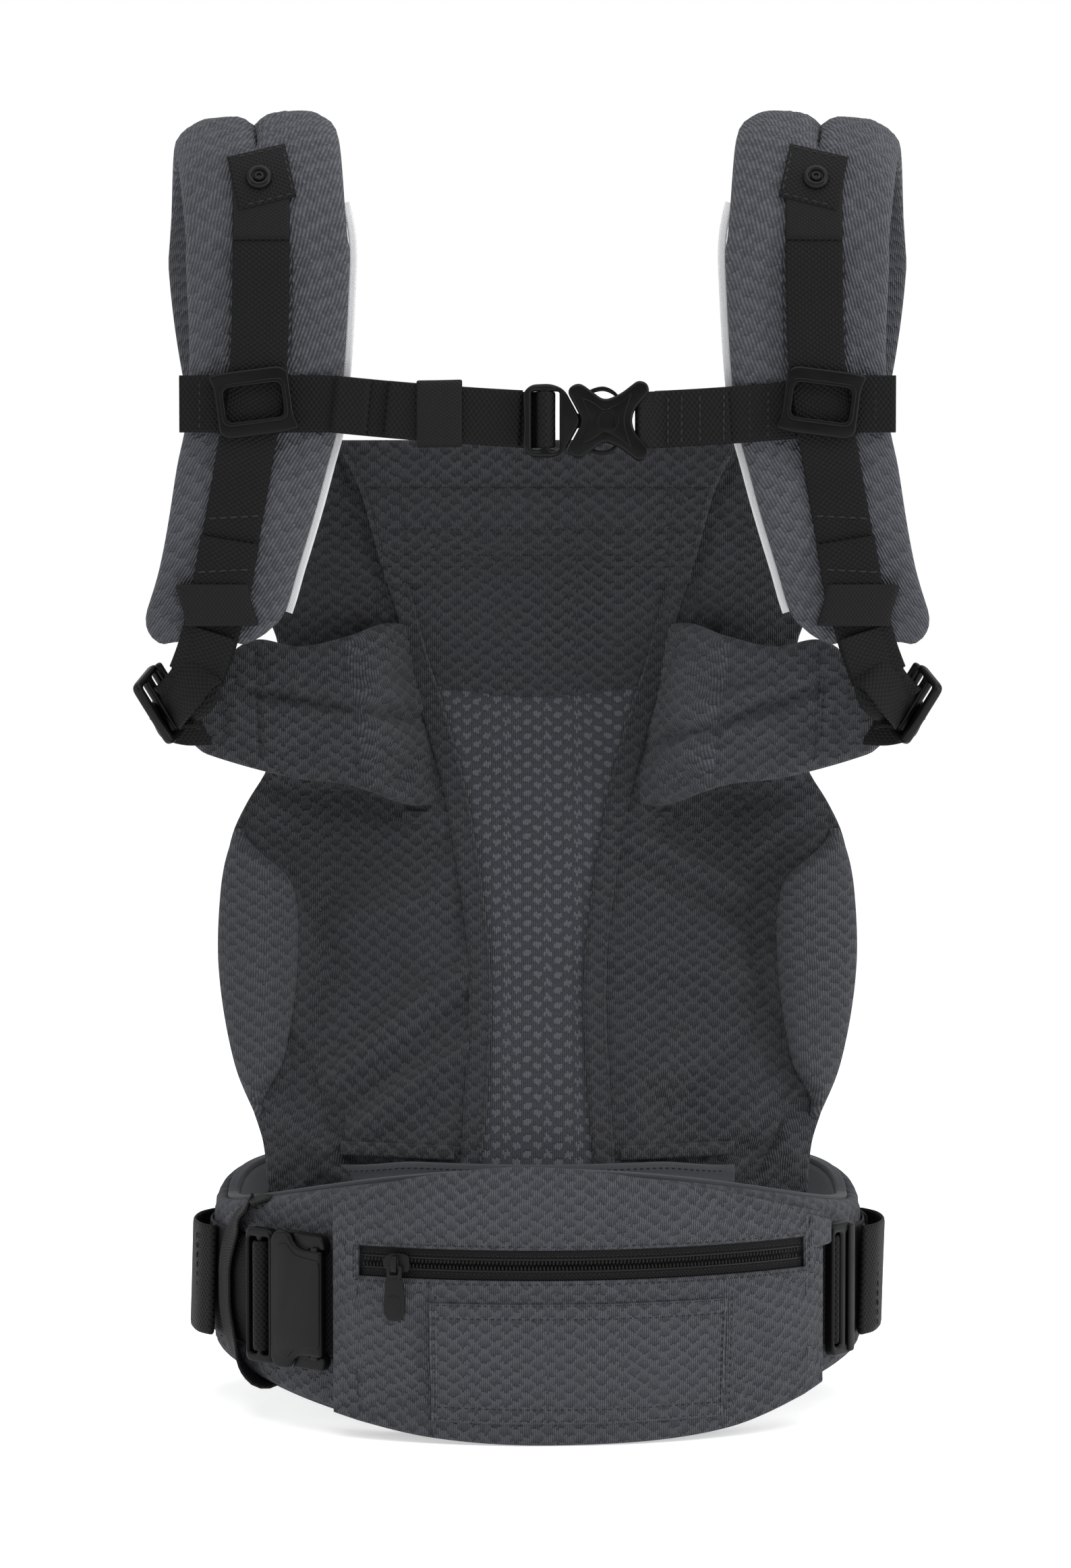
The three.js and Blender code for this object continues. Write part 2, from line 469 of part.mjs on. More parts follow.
// Webbing round the outside of the belt, from the buckle past the back to the right-hand adjuster.
function beltStrap(from, to, width, out, thick, steps, z = WAIST_Z) {
  return bent(steps, 1, (u, v, w) => {
    const depth = mix(-out, -out - thick, w);
    return onBelt(mix(from, to, u), depth, z + (v - 0.5) * width);
  });
}
add("waist_webbing_left", beltStrap(-100, -51.5, WEB.wide, GAP, WEB.thick, 8), WEBBING);
add("waist_webbing_back", beltStrap(100.5, 259.5, WEB.wide, GAP, WEB.thick, 24), WEBBING);
add("waist_webbing_right", beltStrap(62, 100, WEB.wide, GAP, WEB.thick, 8), WEBBING);
// Folded free ends that stand off the belt's sides.
for (const [name, side] of SIDES) {
  const fold = bent(1, 14, (u, v, w) => {
    const out = 4 + 5.5 * sin(PI * v) + WEB.thick * w;
    return onBelt(mix(74, 100, v), -out, WAIST_Z + (0.5 - u) * WEB.wide);
  });
  add(`waist_webbing_tail_${name}`, handed(side, fold), WEBBING);
}
// Elastic loop round the belt and its webbing, beside the buckle, and the right-hand adjuster.
const loopOuter = bent(6, 1, (u, v, w) => onBelt(mix(-71, -62.6, u), mix(BELT.thick + 2.0, -4.2, w),
  mix(beltBottom(-67) - 3.4, beltTop(-67) + 3.4, v)));
const loopInner = bent(8, 1, (u, v, w) => onBelt(mix(-73, -60.6, u), mix(BELT.thick + 0.8, -2.7, w),
  mix(beltBottom(-67) - 1.8, beltTop(-67) + 1.8, v)));
add("belt_elastic_loop", cut(loopOuter, loopInner), WEBBING);
const rightLadder = plate(chamfered(17, 60, 3), 5, [
  chamfered(4.6, 51, 1, -4.4, 0).reverse(),
  chamfered(4.6, 51, 1, 4.4, 0).reverse(),
]);
const rightSpot = onBelt(62, -5.4, WAIST_Z);
const rightTurn = Math.atan2(BELT.halfDepth * sin(62 * RAD), BELT.halfWidth * cos(62 * RAD));
add("waist_adjuster_right", rightLadder.rotateZ(rightTurn).translate(...rightSpot), PLASTIC);

export default carrier;
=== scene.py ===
"""Visual model of a soft baby carrier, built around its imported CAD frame.

Lengths in the functions below are millimetres in the CAD's frame (+Z up, -Y towards the viewer) and
become metres when a mesh is made. "Right" is +X; left-hand pieces are mirrored from right-hand ones.
"""
from math import atan2, cos, exp, hypot, pi, radians, sin, sqrt

import bmesh
import bpy
from mathutils import Matrix, Vector, noise


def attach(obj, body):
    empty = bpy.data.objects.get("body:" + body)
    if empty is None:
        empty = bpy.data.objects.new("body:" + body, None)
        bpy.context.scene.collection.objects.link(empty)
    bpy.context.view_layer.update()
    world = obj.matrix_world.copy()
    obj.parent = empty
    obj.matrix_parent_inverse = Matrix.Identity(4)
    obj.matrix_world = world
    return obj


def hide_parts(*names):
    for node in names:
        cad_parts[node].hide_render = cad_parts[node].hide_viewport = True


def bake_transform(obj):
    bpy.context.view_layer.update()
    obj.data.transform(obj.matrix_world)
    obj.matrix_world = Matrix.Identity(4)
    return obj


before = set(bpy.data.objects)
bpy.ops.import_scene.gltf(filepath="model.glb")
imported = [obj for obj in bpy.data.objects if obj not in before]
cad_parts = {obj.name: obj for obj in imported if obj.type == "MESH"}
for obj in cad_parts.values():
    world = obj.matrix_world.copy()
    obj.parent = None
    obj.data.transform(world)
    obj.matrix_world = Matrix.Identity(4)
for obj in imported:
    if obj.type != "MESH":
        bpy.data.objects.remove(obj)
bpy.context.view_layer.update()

MM = 0.001
scene = bpy.context.scene

# ------------------------------------------------------------------ small maths


def mix(a, b, t):
    return a + (b - a) * t


def clamp(x, low=0.0, high=1.0):
    return min(max(x, low), high)


def ease(low, high, x):
    """0 below low, 1 above high, smooth between."""
    t = clamp((x - low) / (high - low))
    return t * t * (3 - 2 * t)


def bell(x, width):
    return exp(-(x / width) ** 2)


def curve_of(*pairs):
    """A smooth curve through (key, value) pairs, as in the CAD source."""
    last = len(pairs) - 1

    def slope(i):
        a, b = pairs[max(i - 1, 0)], pairs[min(i + 1, last)]
        return (b[1] - a[1]) / (b[0] - a[0])

    def read(key):
        if key <= pairs[0][0]:
            return pairs[0][1]
        if key >= pairs[-1][0]:
            return pairs[-1][1]
        i = max(k for k in range(last) if pairs[k][0] <= key)
        (k0, v0), (k1, v1) = pairs[i], pairs[i + 1]
        h, t = k1 - k0, (key - k0) / (k1 - k0)
        m0, m1 = slope(i) * h, slope(i + 1) * h
        return ((2 * t**3 - 3 * t**2 + 1) * v0 + (t**3 - 2 * t**2 + t) * m0
                + (3 * t**2 - 2 * t**3) * v1 + (t**3 - t**2) * m1)

    return read


def segment_distance(x, z, a, b):
    """Signed distance of (x, z) from the line through a and b, and how far along it lies, 0 to 1."""
    dx, dz = b[0] - a[0], b[1] - a[1]
    length = hypot(dx, dz)
    along = ((x - a[0]) * dx + (z - a[1]) * dz) / length**2
    across = ((x - a[0]) * dz - (z - a[1]) * dx) / length
    return across, along


def fold(x, z, a, b, width, height):
    """A soft ridge, or a valley where height is negative, along the line from a to b."""
    across, along = segment_distance(x, z, a, b)
    ends = ease(-0.25, 0.2, along) * (1 - ease(0.8, 1.25, along))
    return height * bell(across, width) * ends


# ------------------------------------------------------------------ materials


class Nodes:
    """Builds a node tree with short calls."""

    def __init__(self, name):
        self.material = bpy.data.materials.new(name)
        self.material.use_nodes = True
        self.tree = self.material.node_tree
        self.tree.nodes.clear()
        self.out = self.tree.nodes.new("ShaderNodeOutputMaterial")
        self.shader = self.tree.nodes.new("ShaderNodeBsdfPrincipled")
        self.link(self.shader.outputs[0], self.out.inputs[0])

    def link(self, a, b):
        self.tree.links.new(a, b)

    def math(self, op, a, b=0.0, c=0.0, clamped=False):
        node = self.tree.nodes.new("ShaderNodeMath")
        node.operation = op
        node.use_clamp = clamped
        for socket, value in zip(node.inputs, (a, b, c)):
            if isinstance(value, (int, float)):
                socket.default_value = value
            else:
                self.link(value, socket)
        return node.outputs[0]

    def plus(self, a, b, clamped=False):
        return self.math("ADD", a, b, clamped=clamped)

    def times(self, a, b, clamped=False):
        return self.math("MULTIPLY", a, b, clamped=clamped)

    def scaled(self, value, factor, shift, clamped=False):
        return self.math("MULTIPLY_ADD", value, factor, shift, clamped)

    def uv(self):
        node = self.tree.nodes.new("ShaderNodeUVMap")
        node.uv_map = "UVMap"
        split = self.tree.nodes.new("ShaderNodeSeparateXYZ")
        self.link(node.outputs[0], split.inputs[0])
        return node.outputs[0], split.outputs[0], split.outputs[1]

    def place(self):
        return self.tree.nodes.new("ShaderNodeTexCoord").outputs["Object"]

    def noise(self, vector, scale, detail=2.0):
        node = self.tree.nodes.new("ShaderNodeTexNoise")
        node.inputs["Scale"].default_value = scale
        node.inputs["Detail"].default_value = detail
        self.link(vector, node.inputs["Vector"])
        return node.outputs[0]

    def span(self, value, low, high, to_low=0.0, to_high=1.0):
        node = self.tree.nodes.new("ShaderNodeMapRange")
        node.interpolation_type = "SMOOTHSTEP"
        for name, v in (("From Min", low), ("From Max", high), ("To Min", to_low), ("To Max", to_high)):
            node.inputs[name].default_value = v
        self.link(value, node.inputs["Value"])
        return node.outputs[0]

    def blend(self, share, a, b):
        node = self.tree.nodes.new("ShaderNodeMix")
        node.data_type = "RGBA"
        self.link(share, node.inputs[0])
        for socket, value in ((node.inputs[6], a), (node.inputs[7], b)):
            if isinstance(value, tuple):
                socket.default_value = (*value, 1.0)
            else:
                self.link(value, socket)
        return node.outputs[2]

    def wave(self, value, pitch, phase=0.0):
        """0 to 1 along value, once every pitch metres."""
        angle = self.math("MULTIPLY_ADD", value, 2 * pi / pitch, phase)
        return self.math("MULTIPLY_ADD", self.math("SINE", angle), 0.5, 0.5)

    def finish(self, color, height, depth, roughness, sheen=0.0, specular=0.3, strength=1.0):
        self.link(color, self.shader.inputs["Base Color"])
        self.shader.inputs["Roughness"].default_value = roughness
        self.shader.inputs["Sheen Weight"].default_value = sheen
        self.shader.inputs["Sheen Roughness"].default_value = 0.5
        self.shader.inputs["Specular IOR Level"].default_value = specular
        bump = self.tree.nodes.new("ShaderNodeBump")
        bump.inputs["Distance"].default_value = depth
        bump.inputs["Strength"].default_value = strength
        self.link(height, bump.inputs["Height"])
        self.link(bump.outputs[0], self.shader.inputs["Normal"])
        return self.material


def tint(color, factor):
    return tuple(c * factor for c in color)


DIMPLE_WIDE, DIMPLE_TALL, RIB = 0.0092, 0.0065, 0.00092


def air_mesh(name, base, dimple=0.6, rib=RIB, slant=0.0, dots=None, wide=DIMPLE_WIDE, tall=DIMPLE_TALL):
    """Ribbed knit with staggered diamond dimples, their outline stepped from rib to rib.
    Without dots the dimples carry painted shade as recesses, darkest in their lower half as under light
    from above.
    dots lightens the dimples instead, for the see-through mesh."""
    n = Nodes(name)
    vector, u, v = n.uv()
    drift = n.noise(vector, 60.0)
    wobble = n.scaled(drift, 0.0012, -0.0006)
    across = n.plus(n.plus(u, n.times(v, slant)), wobble)
    ribs = n.wave(across, rib, -pi / 2)
    index = n.math("FLOOR", n.math("DIVIDE", across, rib))
    hash_node = n.tree.nodes.new("ShaderNodeTexWhiteNoise")
    hash_node.noise_dimensions = "1D"
    n.link(index, hash_node.inputs["W"])
    hashed = hash_node.outputs["Value"]
    stepped_v = n.plus(v, n.scaled(hashed, 0.0016, -0.0008))
    stroke = n.wave(n.plus(v, n.times(hashed, 0.004)), 0.0031)
    strokes = n.times(ribs, n.scaled(stroke, 0.45, 0.55))
    rib_mid = n.times(n.plus(index, 0.5), rib)
    place_u = n.math("SUBTRACT", rib_mid, n.times(v, slant)) if slant else rib_mid
    cells = n.plus(n.math("COSINE", n.times(place_u, 2 * pi / wide)),
                   n.math("COSINE", n.times(stepped_v, 2 * pi / tall)))
    diamond = n.span(n.math("ABSOLUTE", cells), 0.95 if dots else 0.5, 1.3 if dots else 1.0)
    below = n.times(n.math("SINE", n.times(stepped_v, -2 * pi / tall)), n.math("SIGN", cells))
    patches = n.noise(vector, 22.0, 4.0)
    fuzz = n.noise(vector, 1300.0, 3.0)
    tone = n.scaled(strokes, 0.75, n.times(patches, 0.2))
    tone = n.plus(tone, n.scaled(fuzz, 0.5, -0.2), clamped=True)
    color = n.blend(tone, tint(base, 0.55), tint(base, 1.6))
    if dots:
        color = n.blend(diamond, color, n.blend(strokes, tint(dots, 0.7), tint(dots, 1.25)))
        height = n.scaled(diamond, -0.8, n.times(strokes, 0.5))
    else:
        # Painted shade: the dimples darken most in their lower half, as under light from above.
        depth = n.scaled(below, 0.3, 0.7)
        shade = n.times(n.times(diamond, depth), n.scaled(patches, 0.9, 0.45),
                       clamped=True)
        dark = n.blend(tone, tint(base, 0.5 * dimple), tint(base, 1.5 * dimple))
        color = n.blend(shade, color, dark)
        height = n.scaled(shade, -1.2, n.times(strokes, 0.7))
    height = n.plus(height, n.times(fuzz, 0.35))
    return n.finish(color, height, 0.0009, 0.92, sheen=0.05, specular=0.12)


def woven(name, base, pitch=0.0006, contrast=0.25, roughness=0.85):
    """Plain or twill cloth: lining, piping and folded edges."""
    n = Nodes(name)
    vector, u, v = n.uv()
    warp = n.wave(n.plus(u, v), pitch)
    weft = n.wave(n.math("SUBTRACT", u, v), pitch)
    weave = n.times(n.plus(warp, weft), 0.5)
    patches = n.noise(vector, 30.0, 3.0)
    tone = n.scaled(weave, 0.6, n.times(patches, 0.4))
    color = n.blend(tone, tint(base, 1 - contrast), tint(base, 1 + contrast))
    return n.finish(color, weave, 0.0002, roughness, sheen=0.1, specular=0.2, strength=0.7)


def webbing_weave(name, base, rows=0.00145, picks=0.0011, contrast=0.75):
    """Polyester webbing: staggered picks between lengthwise ribs. U runs across the strap."""
    n = Nodes(name)
    vector, u, v = n.uv()
    ribs = n.wave(u, rows)
    cells = n.times(n.math("SINE", n.times(u, pi / rows)),
                   n.math("SINE", n.times(v, pi / picks)))
    picks_up = n.scaled(cells, 0.5, 0.5)
    fuzz = n.noise(vector, 1800.0, 2.0)
    height = n.scaled(picks_up, 0.8, n.times(ribs, 0.3))
    tone = n.scaled(picks_up, 0.7, n.times(fuzz, 0.3), clamped=True)
    color = n.blend(tone, tint(base, 1 - contrast), tint(base, 1 + contrast))
    return n.finish(color, height, 0.00035, 0.65, specular=0.13)


def plastic(name, base, roughness, grain=2600.0):
    """Moulded acetal with a fine spark-eroded grain and slight handling wear."""
    n = Nodes(name)
    where = n.place()
    fine, worn = n.noise(where, grain, 2.0), n.noise(where, 60.0, 4.0)
    color = n.blend(worn, tint(base, 0.8), tint(base, 1.3))
    material = n.finish(color, fine, 0.00006, roughness, specular=0.15, strength=0.6)
    n.link(n.span(worn, 0.3, 0.75, roughness - 0.06, roughness + 0.1), n.shader.inputs["Roughness"])
    return material


def thread(name, base):
    n = Nodes(name)
    where = n.place()
    strand = n.noise(where, 3000.0, 2.0)
    return n.finish(n.blend(strand, tint(base, 0.6), tint(base, 1.5)), strand, 0.0001, 0.75, sheen=0.1)


GREY = (0.074, 0.076, 0.087)
MESH = air_mesh("air_mesh_body", GREY)
# Painted half shade: the same body cloth darkened to 0.84 for the thigh pads and the right wing.
MESH_HALF_SHADED = air_mesh("air_mesh_thigh", tint(GREY, 0.84))
# Painted shade: the same body cloth darkened to 0.6 for the recessed seat, head support, shoulder panels
# and left wing.
MESH_SHADED = air_mesh("air_mesh_quilted", tint(GREY, 0.6), dimple=0.5)
STRAP_MESH = air_mesh("air_mesh_strap", tint(GREY, 1.02), dimple=0.8, rib=0.0015, slant=0.3,
                      wide=0.0105, tall=0.0085)
VENT_MESH = air_mesh("air_mesh_vent", tint(GREY, 0.56), dots=tint(GREY, 1.3))
LINING = woven("belt_lining_cloth", tint(GREY, 1.05))
BAND = woven("folded_edge_cloth", tint(GREY, 0.7), pitch=0.0008)
PIPING = woven("light_piping_cloth", (0.62, 0.62, 0.635), pitch=0.0012, contrast=0.06, roughness=0.7)
WEB = webbing_weave("black_webbing", (0.0052, 0.0052, 0.0052), contrast=0.95)
ELASTIC = webbing_weave("black_elastic", (0.008, 0.008, 0.008), rows=0.0012, picks=0.0008, contrast=0.5)
TAPE = webbing_weave("zip_tape_weave", (0.006, 0.006, 0.0065), rows=0.0009, picks=0.0008)
BLACK = plastic("black_acetal", (0.003, 0.003, 0.0034), roughness=0.36)
ZIP_BLACK = plastic("zip_nylon", (0.008, 0.008, 0.0085), roughness=0.42, grain=900.0)
SNAP = plastic("snap_enamel", (0.006, 0.006, 0.0065), roughness=0.35, grain=500.0)
THREAD = thread("dark_thread", (0.008, 0.008, 0.009))

# ------------------------------------------------------------------ mesh builders


def new_object(name, verts, faces, material, uvs=None):
    """verts in millimetres, uvs one pair per vertex in metres."""
    mesh = bpy.data.meshes.new(name)
    mesh.from_pydata([(x * MM, y * MM, z * MM) for x, y, z in verts], [], faces)
    if uvs:
        layer = mesh.uv_layers.new(name="UVMap")
        for loop in mesh.loops:
            layer.data[loop.index].uv = uvs[loop.vertex_index]
    mesh.materials.append(material)
    mesh.polygons.foreach_set("use_smooth", [True] * len(mesh.polygons))
    mesh.update()
    obj = bpy.data.objects.new(name, mesh)
    scene.collection.objects.link(obj)
    return obj


def spaced(count, breaks, round_share):
    """count-ish values from the first break to the last, on every break and close together beside it."""
    values = []
    total = breaks[-1] - breaks[0]
    for a, b in zip(breaks, breaks[1:]):
        edge = min(round_share, (b - a) * 0.3)
        steps = max(2, round(count * (b - a) / total))
        values += [a, a + edge * 0.08, a + edge * 0.3, a + edge * 0.62]
        values += [mix(a + edge, b - edge, i / steps) for i in range(steps + 1)]
        values += [b - edge * 0.62, b - edge * 0.3, b - edge * 0.08]
    return values + [breaks[-1]]


class Surface:
    """A cloth's middle surface: point(u, v) in millimetres, with u and v from 0 to 1."""

    def __init__(self, point, turned=False):
        self.point = point
        self.sign = -1.0 if turned else 1.0

    def normal(self, u, v):
        e = 0.002

        def near(a, b):
            return Vector(self.point(clamp(a), clamp(b)))

        out = (near(u + e, v) - near(u - e, v)).cross(near(u, v + e) - near(u, v - e))
        return out.normalized() * self.sign if out.length > 1e-12 else Vector((0, -1, 0))

    def at(self, u, v, lift=0.0):
        return Vector(self.point(u, v)) + self.normal(u, v) * lift


def mirror(surface):
    def point(u, v):
        x, y, z = surface.point(u, v)
        return (-x, y, z)
    return Surface(point, turned=surface.sign > 0)


SIMULATED = []
SIM_FRAMES = 20
HOLD = 0.02
HOLE_SLACK, ON_EDGE = 1e-9, 1e-6


def prepare_swell(obj, held, growth, pressure):
    group = obj.vertex_groups.new(name="held")
    for index, weight in enumerate(held):
        group.add([index], weight, "REPLACE")
    modifier = obj.modifiers.new("swell", "CLOTH")
    modifier.point_cache.frame_start, modifier.point_cache.frame_end = 1, SIM_FRAMES
    modifier.collision_settings.use_collision = False
    s = modifier.settings
    s.quality = 4
    s.mass = 0.2
    s.tension_stiffness = s.compression_stiffness = 12
    s.shear_stiffness = 4
    s.bending_stiffness = 0.25
    s.vertex_group_mass = "held"
    s.pin_stiffness = 1.0
    s.shrink_min = s.shrink_max = -growth
    s.use_pressure = True
    s.uniform_pressure_force = pressure
    s.effector_weights.gravity = 0


def simulate():
    """Swells the queued pieces with one cloth simulation: sewn lines are held, the cloth between them is a
    little larger than its place and blown out by a light pressure. Each point moves at most its cap."""
    scene.frame_start, scene.frame_end = 1, SIM_FRAMES
    for obj, held, growth, pressure, cap in SIMULATED:
        prepare_swell(obj, held, growth, pressure)
    for frame_number in range(1, SIM_FRAMES + 1):
        scene.frame_set(frame_number)
    graph = bpy.context.evaluated_depsgraph_get()
    for obj, held, growth, pressure, cap in SIMULATED:
        moved = [v.co.copy() for v in obj.evaluated_get(graph).data.vertices]
        for vertex, co in zip(obj.data.vertices, moved):
            step = co - vertex.co
            if step.length > 1e-9:
                vertex.co += step.normalized() * cap * MM * (1 - exp(-step.length / (cap * MM)))
        obj.modifiers.clear()
        obj.vertex_groups.clear()
        obj.data.update()
    scene.frame_set(1)


def walk(points):
    """Lengths from the first of the points to each of them."""
    total, out = 0.0, [0.0]
    for a, b in zip(points, points[1:]):
        total += (b - a).length
        out.append(total)
    return out


class Grid:
    """A cloth's rows and columns, close together beside its edges and its slot."""

    def __init__(self, surface, count, size, edge, hole):
        self.hole = hole
        self.us = spaced(count[0], [0, hole[0], hole[1], 1] if hole else [0, 1], edge / size[0])
        self.vs = spaced(count[1], [0, hole[2], hole[3], 1] if hole else [0, 1], edge / size[1])
        self.mid = [[Vector(surface.point(u, v)) for v in self.vs] for u in self.us]
        self.along_v = [walk(row) for row in self.mid]
        self.along_u = [walk([row[j] for row in self.mid]) for j in range(len(self.vs))]

    def in_hole(self, u, v, slack=HOLE_SLACK):
        u0, u1, v0, v1 = self.hole or (2, 2, 2, 2)
        return u0 - slack <= u <= u1 + slack and v0 - slack <= v <= v1 + slack

    def distance(self, i, j):
        """How far a point is from the nearest edge, the slot's included."""
        along_u, along_v = self.along_u[j], self.along_v[i]
        nearest = min(along_u[i], along_u[-1] - along_u[i], along_v[j], along_v[-1] - along_v[j])
        if self.hole:
            u0, u1, v0, v1 = self.hole
            outside_u = max(u0 - self.us[i], self.us[i] - u1, 0.0) * along_u[-1]
            outside_v = max(v0 - self.vs[j], self.vs[j] - v1, 0.0) * along_v[-1]
            nearest = min(nearest, hypot(outside_u, outside_v))
        return nearest

    def flat(self, i, j):
        along_u = self.along_u[j]
        return ((along_u[i] - along_u[-1] / 2) * MM, self.along_v[i][j] * MM)

    def faces(self, front_at, back_at, turned):
        out = []
        for i, (u0, u1) in enumerate(zip(self.us, self.us[1:])):
            for j, (v0, v1) in enumerate(zip(self.vs, self.vs[1:])):
                if self.in_hole((u0 + u1) / 2, (v0 + v1) / 2):
                    continue
                ring = [(i, j), (i + 1, j), (i + 1, j + 1), (i, j + 1)]
                if turned:
                    ring.reverse()
                out.append([front_at[k] for k in ring])
                out.append([back_at[k] for k in reversed(ring)])
        return out


def at_uv(value, u, v):
    return value(u, v) if callable(value) else value


def cloth(name, body, material, surface, count, front, back, edge, relief=None, size=(100, 100),
          hole=None, project=None, puff=None, seams=None):
    """A closed cloth or pad. front and back are how far it stands off its middle surface each way,
    with an edge rounded over that many millimetres; relief(u, v) adds to the front; hole cuts a slot.
    puff is growth, pressure and cap for simulate(), and seams(u, v) is 1 on sewn lines, which stay."""
    grid = Grid(surface, count, size, edge, hole)
    verts, uvs, front_at, back_at, held = [], [], {}, {}, []
    for i, u in enumerate(grid.us):
        for j, v in enumerate(grid.vs):
            if grid.in_hole(u, v, -HOLE_SLACK):
                continue
            p, n, d = grid.mid[i][j], surface.normal(u, v), grid.distance(i, j)
            share = clamp(d / edge)
            round_off = sqrt(max(0.0, 1 - (1 - share) ** 2))
            extra = relief(u, v) * ease(0, 1, share) if relief else 0.0
            uv = project(p) if project else grid.flat(i, j)
            front_at[i, j] = back_at[i, j] = len(verts)
            verts.append(p + n * (at_uv(front, u, v) * round_off + extra))
            uvs.append(uv)
            sewn = max(1 - ease(edge * 0.5, edge * 2.5, d), seams(u, v) if seams else 0.0)
            held.append(mix(HOLD, 1.0, clamp(sewn)))
            if d >= ON_EDGE:
                back_at[i, j] = len(verts)
                verts.append(p - n * at_uv(back, u, v) * round_off)
                uvs.append(uv)
                held.append(1.0)
    obj = new_object(name, verts, grid.faces(front_at, back_at, surface.sign < 0), material, uvs)
    if puff:
        SIMULATED.append((obj, held, *puff))
    if body:
        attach(obj, body)
    return obj


def cut_from(surface):
    """Works out a sewn piece's size and area as a sheet; the results are not kept."""
    steps = 32
    grid = [[Vector(surface.point(i / steps,
                                  j / steps)) * MM for j in range(steps + 1)] for i in range(steps + 1)]
    wide = max(sum((grid[i + 1][j] - grid[i][j]).length for i in range(steps)) for j in range(steps + 1))
    tall = max(sum((grid[i][j + 1] - grid[i][j]).length for j in range(steps)) for i in range(steps + 1))
    area = 0.0
    for i in range(steps):
        for j in range(steps):
            a, b, c, d = grid[i][j], grid[i + 1][j], grid[i + 1][j + 1], grid[i][j + 1]
            area += (c - a).cross(d - b).length / 2
    area = min(area, wide * tall)


def tube_faces(base, rings, around):
    """The sides of a tube whose rings of points follow each other from base."""
    faces = []
    for ring in range(rings - 1):
        for k in range(around):
            a, b = base + ring * around + k, base + ring * around + (k + 1) % around
            faces.append([a, b, b + around, a + around])
    return faces


def tube_ends(base, rings, around):
    last = base + (rings - 1) * around
    return [[base + k for k in range(around)][::-1], [last + k for k in range(around)]]


PROFILE = [(-0.5, 0.0), (-0.485, 0.36), (-0.45, 0.5), (-0.2, 0.47), (0, 0.46), (0.2, 0.47), (0.45, 0.5),
           (0.485, 0.36), (0.5, 0.0), (0.485, -0.36), (0.45, -0.5), (0.2, -0.47), (0, -0.46),
           (-0.2, -0.47), (-0.45, -0.5), (-0.485, -0.36)]


def resample(points, count):
    """Catmull-Rom through the points, count steps."""
    pts = [Vector(p) for p in points]
    out = []
    last = len(pts) - 1
    for k in range(count + 1):
        s = k / count * last
        i = min(int(s), last - 1)
        t = s - i
        p0, p1, p2, p3 = (pts[min(max(i + d, 0), last)] for d in (-1, 0, 1, 2))
        out.append(0.5 * ((2 * p1) + (p2 - p0) * t + (2 * p0 - 5 * p1 + 4 * p2 - p3) * t**2
                          + (3 * p1 - p0 - 3 * p2 + p3) * t**3))
    return out


def ribbon(name, body, material, points, across, width, thick, count=0, closed=False):
    """A strip of webbing along points, which count, where given, smooths into that many steps.
    across is its width's direction, one or one per point."""
    path = resample(points, count) if count else [Vector(p) for p in points]
    many = isinstance(across[0], (tuple, list, Vector))
    sides = resample(across, len(path) - 1) if many else [Vector(across)] * len(path)
    varied = isinstance(width, (list, tuple))
    widths = resample([(w, 0, 0) for w in width], len(path) - 1) if varied else None
    verts, uvs, run = [], [], 0.0
    last = len(path) - 1
    for k, p in enumerate(path):
        before, after = path[max(k - 1, 0)], path[min(k + 1, last)]
        if closed:
            before, after = path[(k - 1) % last], path[(k + 1) % last]
        forward = (after - before).normalized()
        side = (sides[k] - forward * sides[k].dot(forward)).normalized()
        up = forward.cross(side)
        w = widths[k].x if widths else width
        run += (p - path[k - 1]).length if k else 0.0
        for a, h in PROFILE:
            verts.append(p + side * a * w + up * h * thick)
            uvs.append((a * w * MM, run * MM))
    faces = tube_faces(0, len(path), len(PROFILE))
    if not closed:
        faces += tube_ends(0, len(path), len(PROFILE))
    obj = new_object(name, verts, faces, material, uvs)
    if closed:
        merge_points(obj.data, 1e-6)
    tidy_normals(obj)
    if body:
        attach(obj, body)
    return obj


def merge_points(mesh, distance):
    tool = bmesh.new()
    tool.from_mesh(mesh)
    bmesh.ops.remove_doubles(tool, verts=tool.verts, dist=distance)
    tool.to_mesh(mesh)
    tool.free()


def tidy_normals(obj, sharp=None):
    tool = bmesh.new()
    tool.from_mesh(obj.data)
    bmesh.ops.recalc_face_normals(tool, faces=tool.faces)
    if sharp:
        for e in tool.edges:
            e.smooth = len(e.link_faces) == 2 and e.calc_face_angle(0.0) < radians(sharp)
    tool.to_mesh(obj.data)
    tool.free()


STITCHES = {}


def stitch(body, points, normals, length=2.2, gap=1.0, thick=0.55):
    """A row of stitches along points that lie on a surface. They are joined into one piece per body."""
    rows = STITCHES.setdefault((body, THREAD.name), [])
    path = [Vector(p) for p in points]
    spans = [(b - a).length for a, b in zip(path, path[1:])]
    total, at = sum(spans), gap / 2

    def place(distance):
        for k, s in enumerate(spans):
            if distance <= s or k == len(spans) - 1:
                t = clamp(distance / s) if s else 0.0
                normal = Vector(normals[k]).lerp(Vector(normals[k + 1]), t).normalized()
                return path[k].lerp(path[k + 1], t), normal
            distance -= s

    while at + length <= total:
        (a, n), (b, _) = place(at), place(at + length)
        rows.append((a, b, n, thick))
        at += length + gap


def stitch_on(body, surface, path, lift, steps=60, **style):
    """Stitches along a path of (u, v) pairs on a surface."""
    uvs = resample([(u, v, 0) for u, v in path], steps)
    points = [surface.at(clamp(p.x), clamp(p.y), lift(p.x, p.y) if callable(lift) else lift) for p in uvs]
    stitch(body, points, [surface.normal(clamp(p.x), clamp(p.y)) for p in uvs], **style)


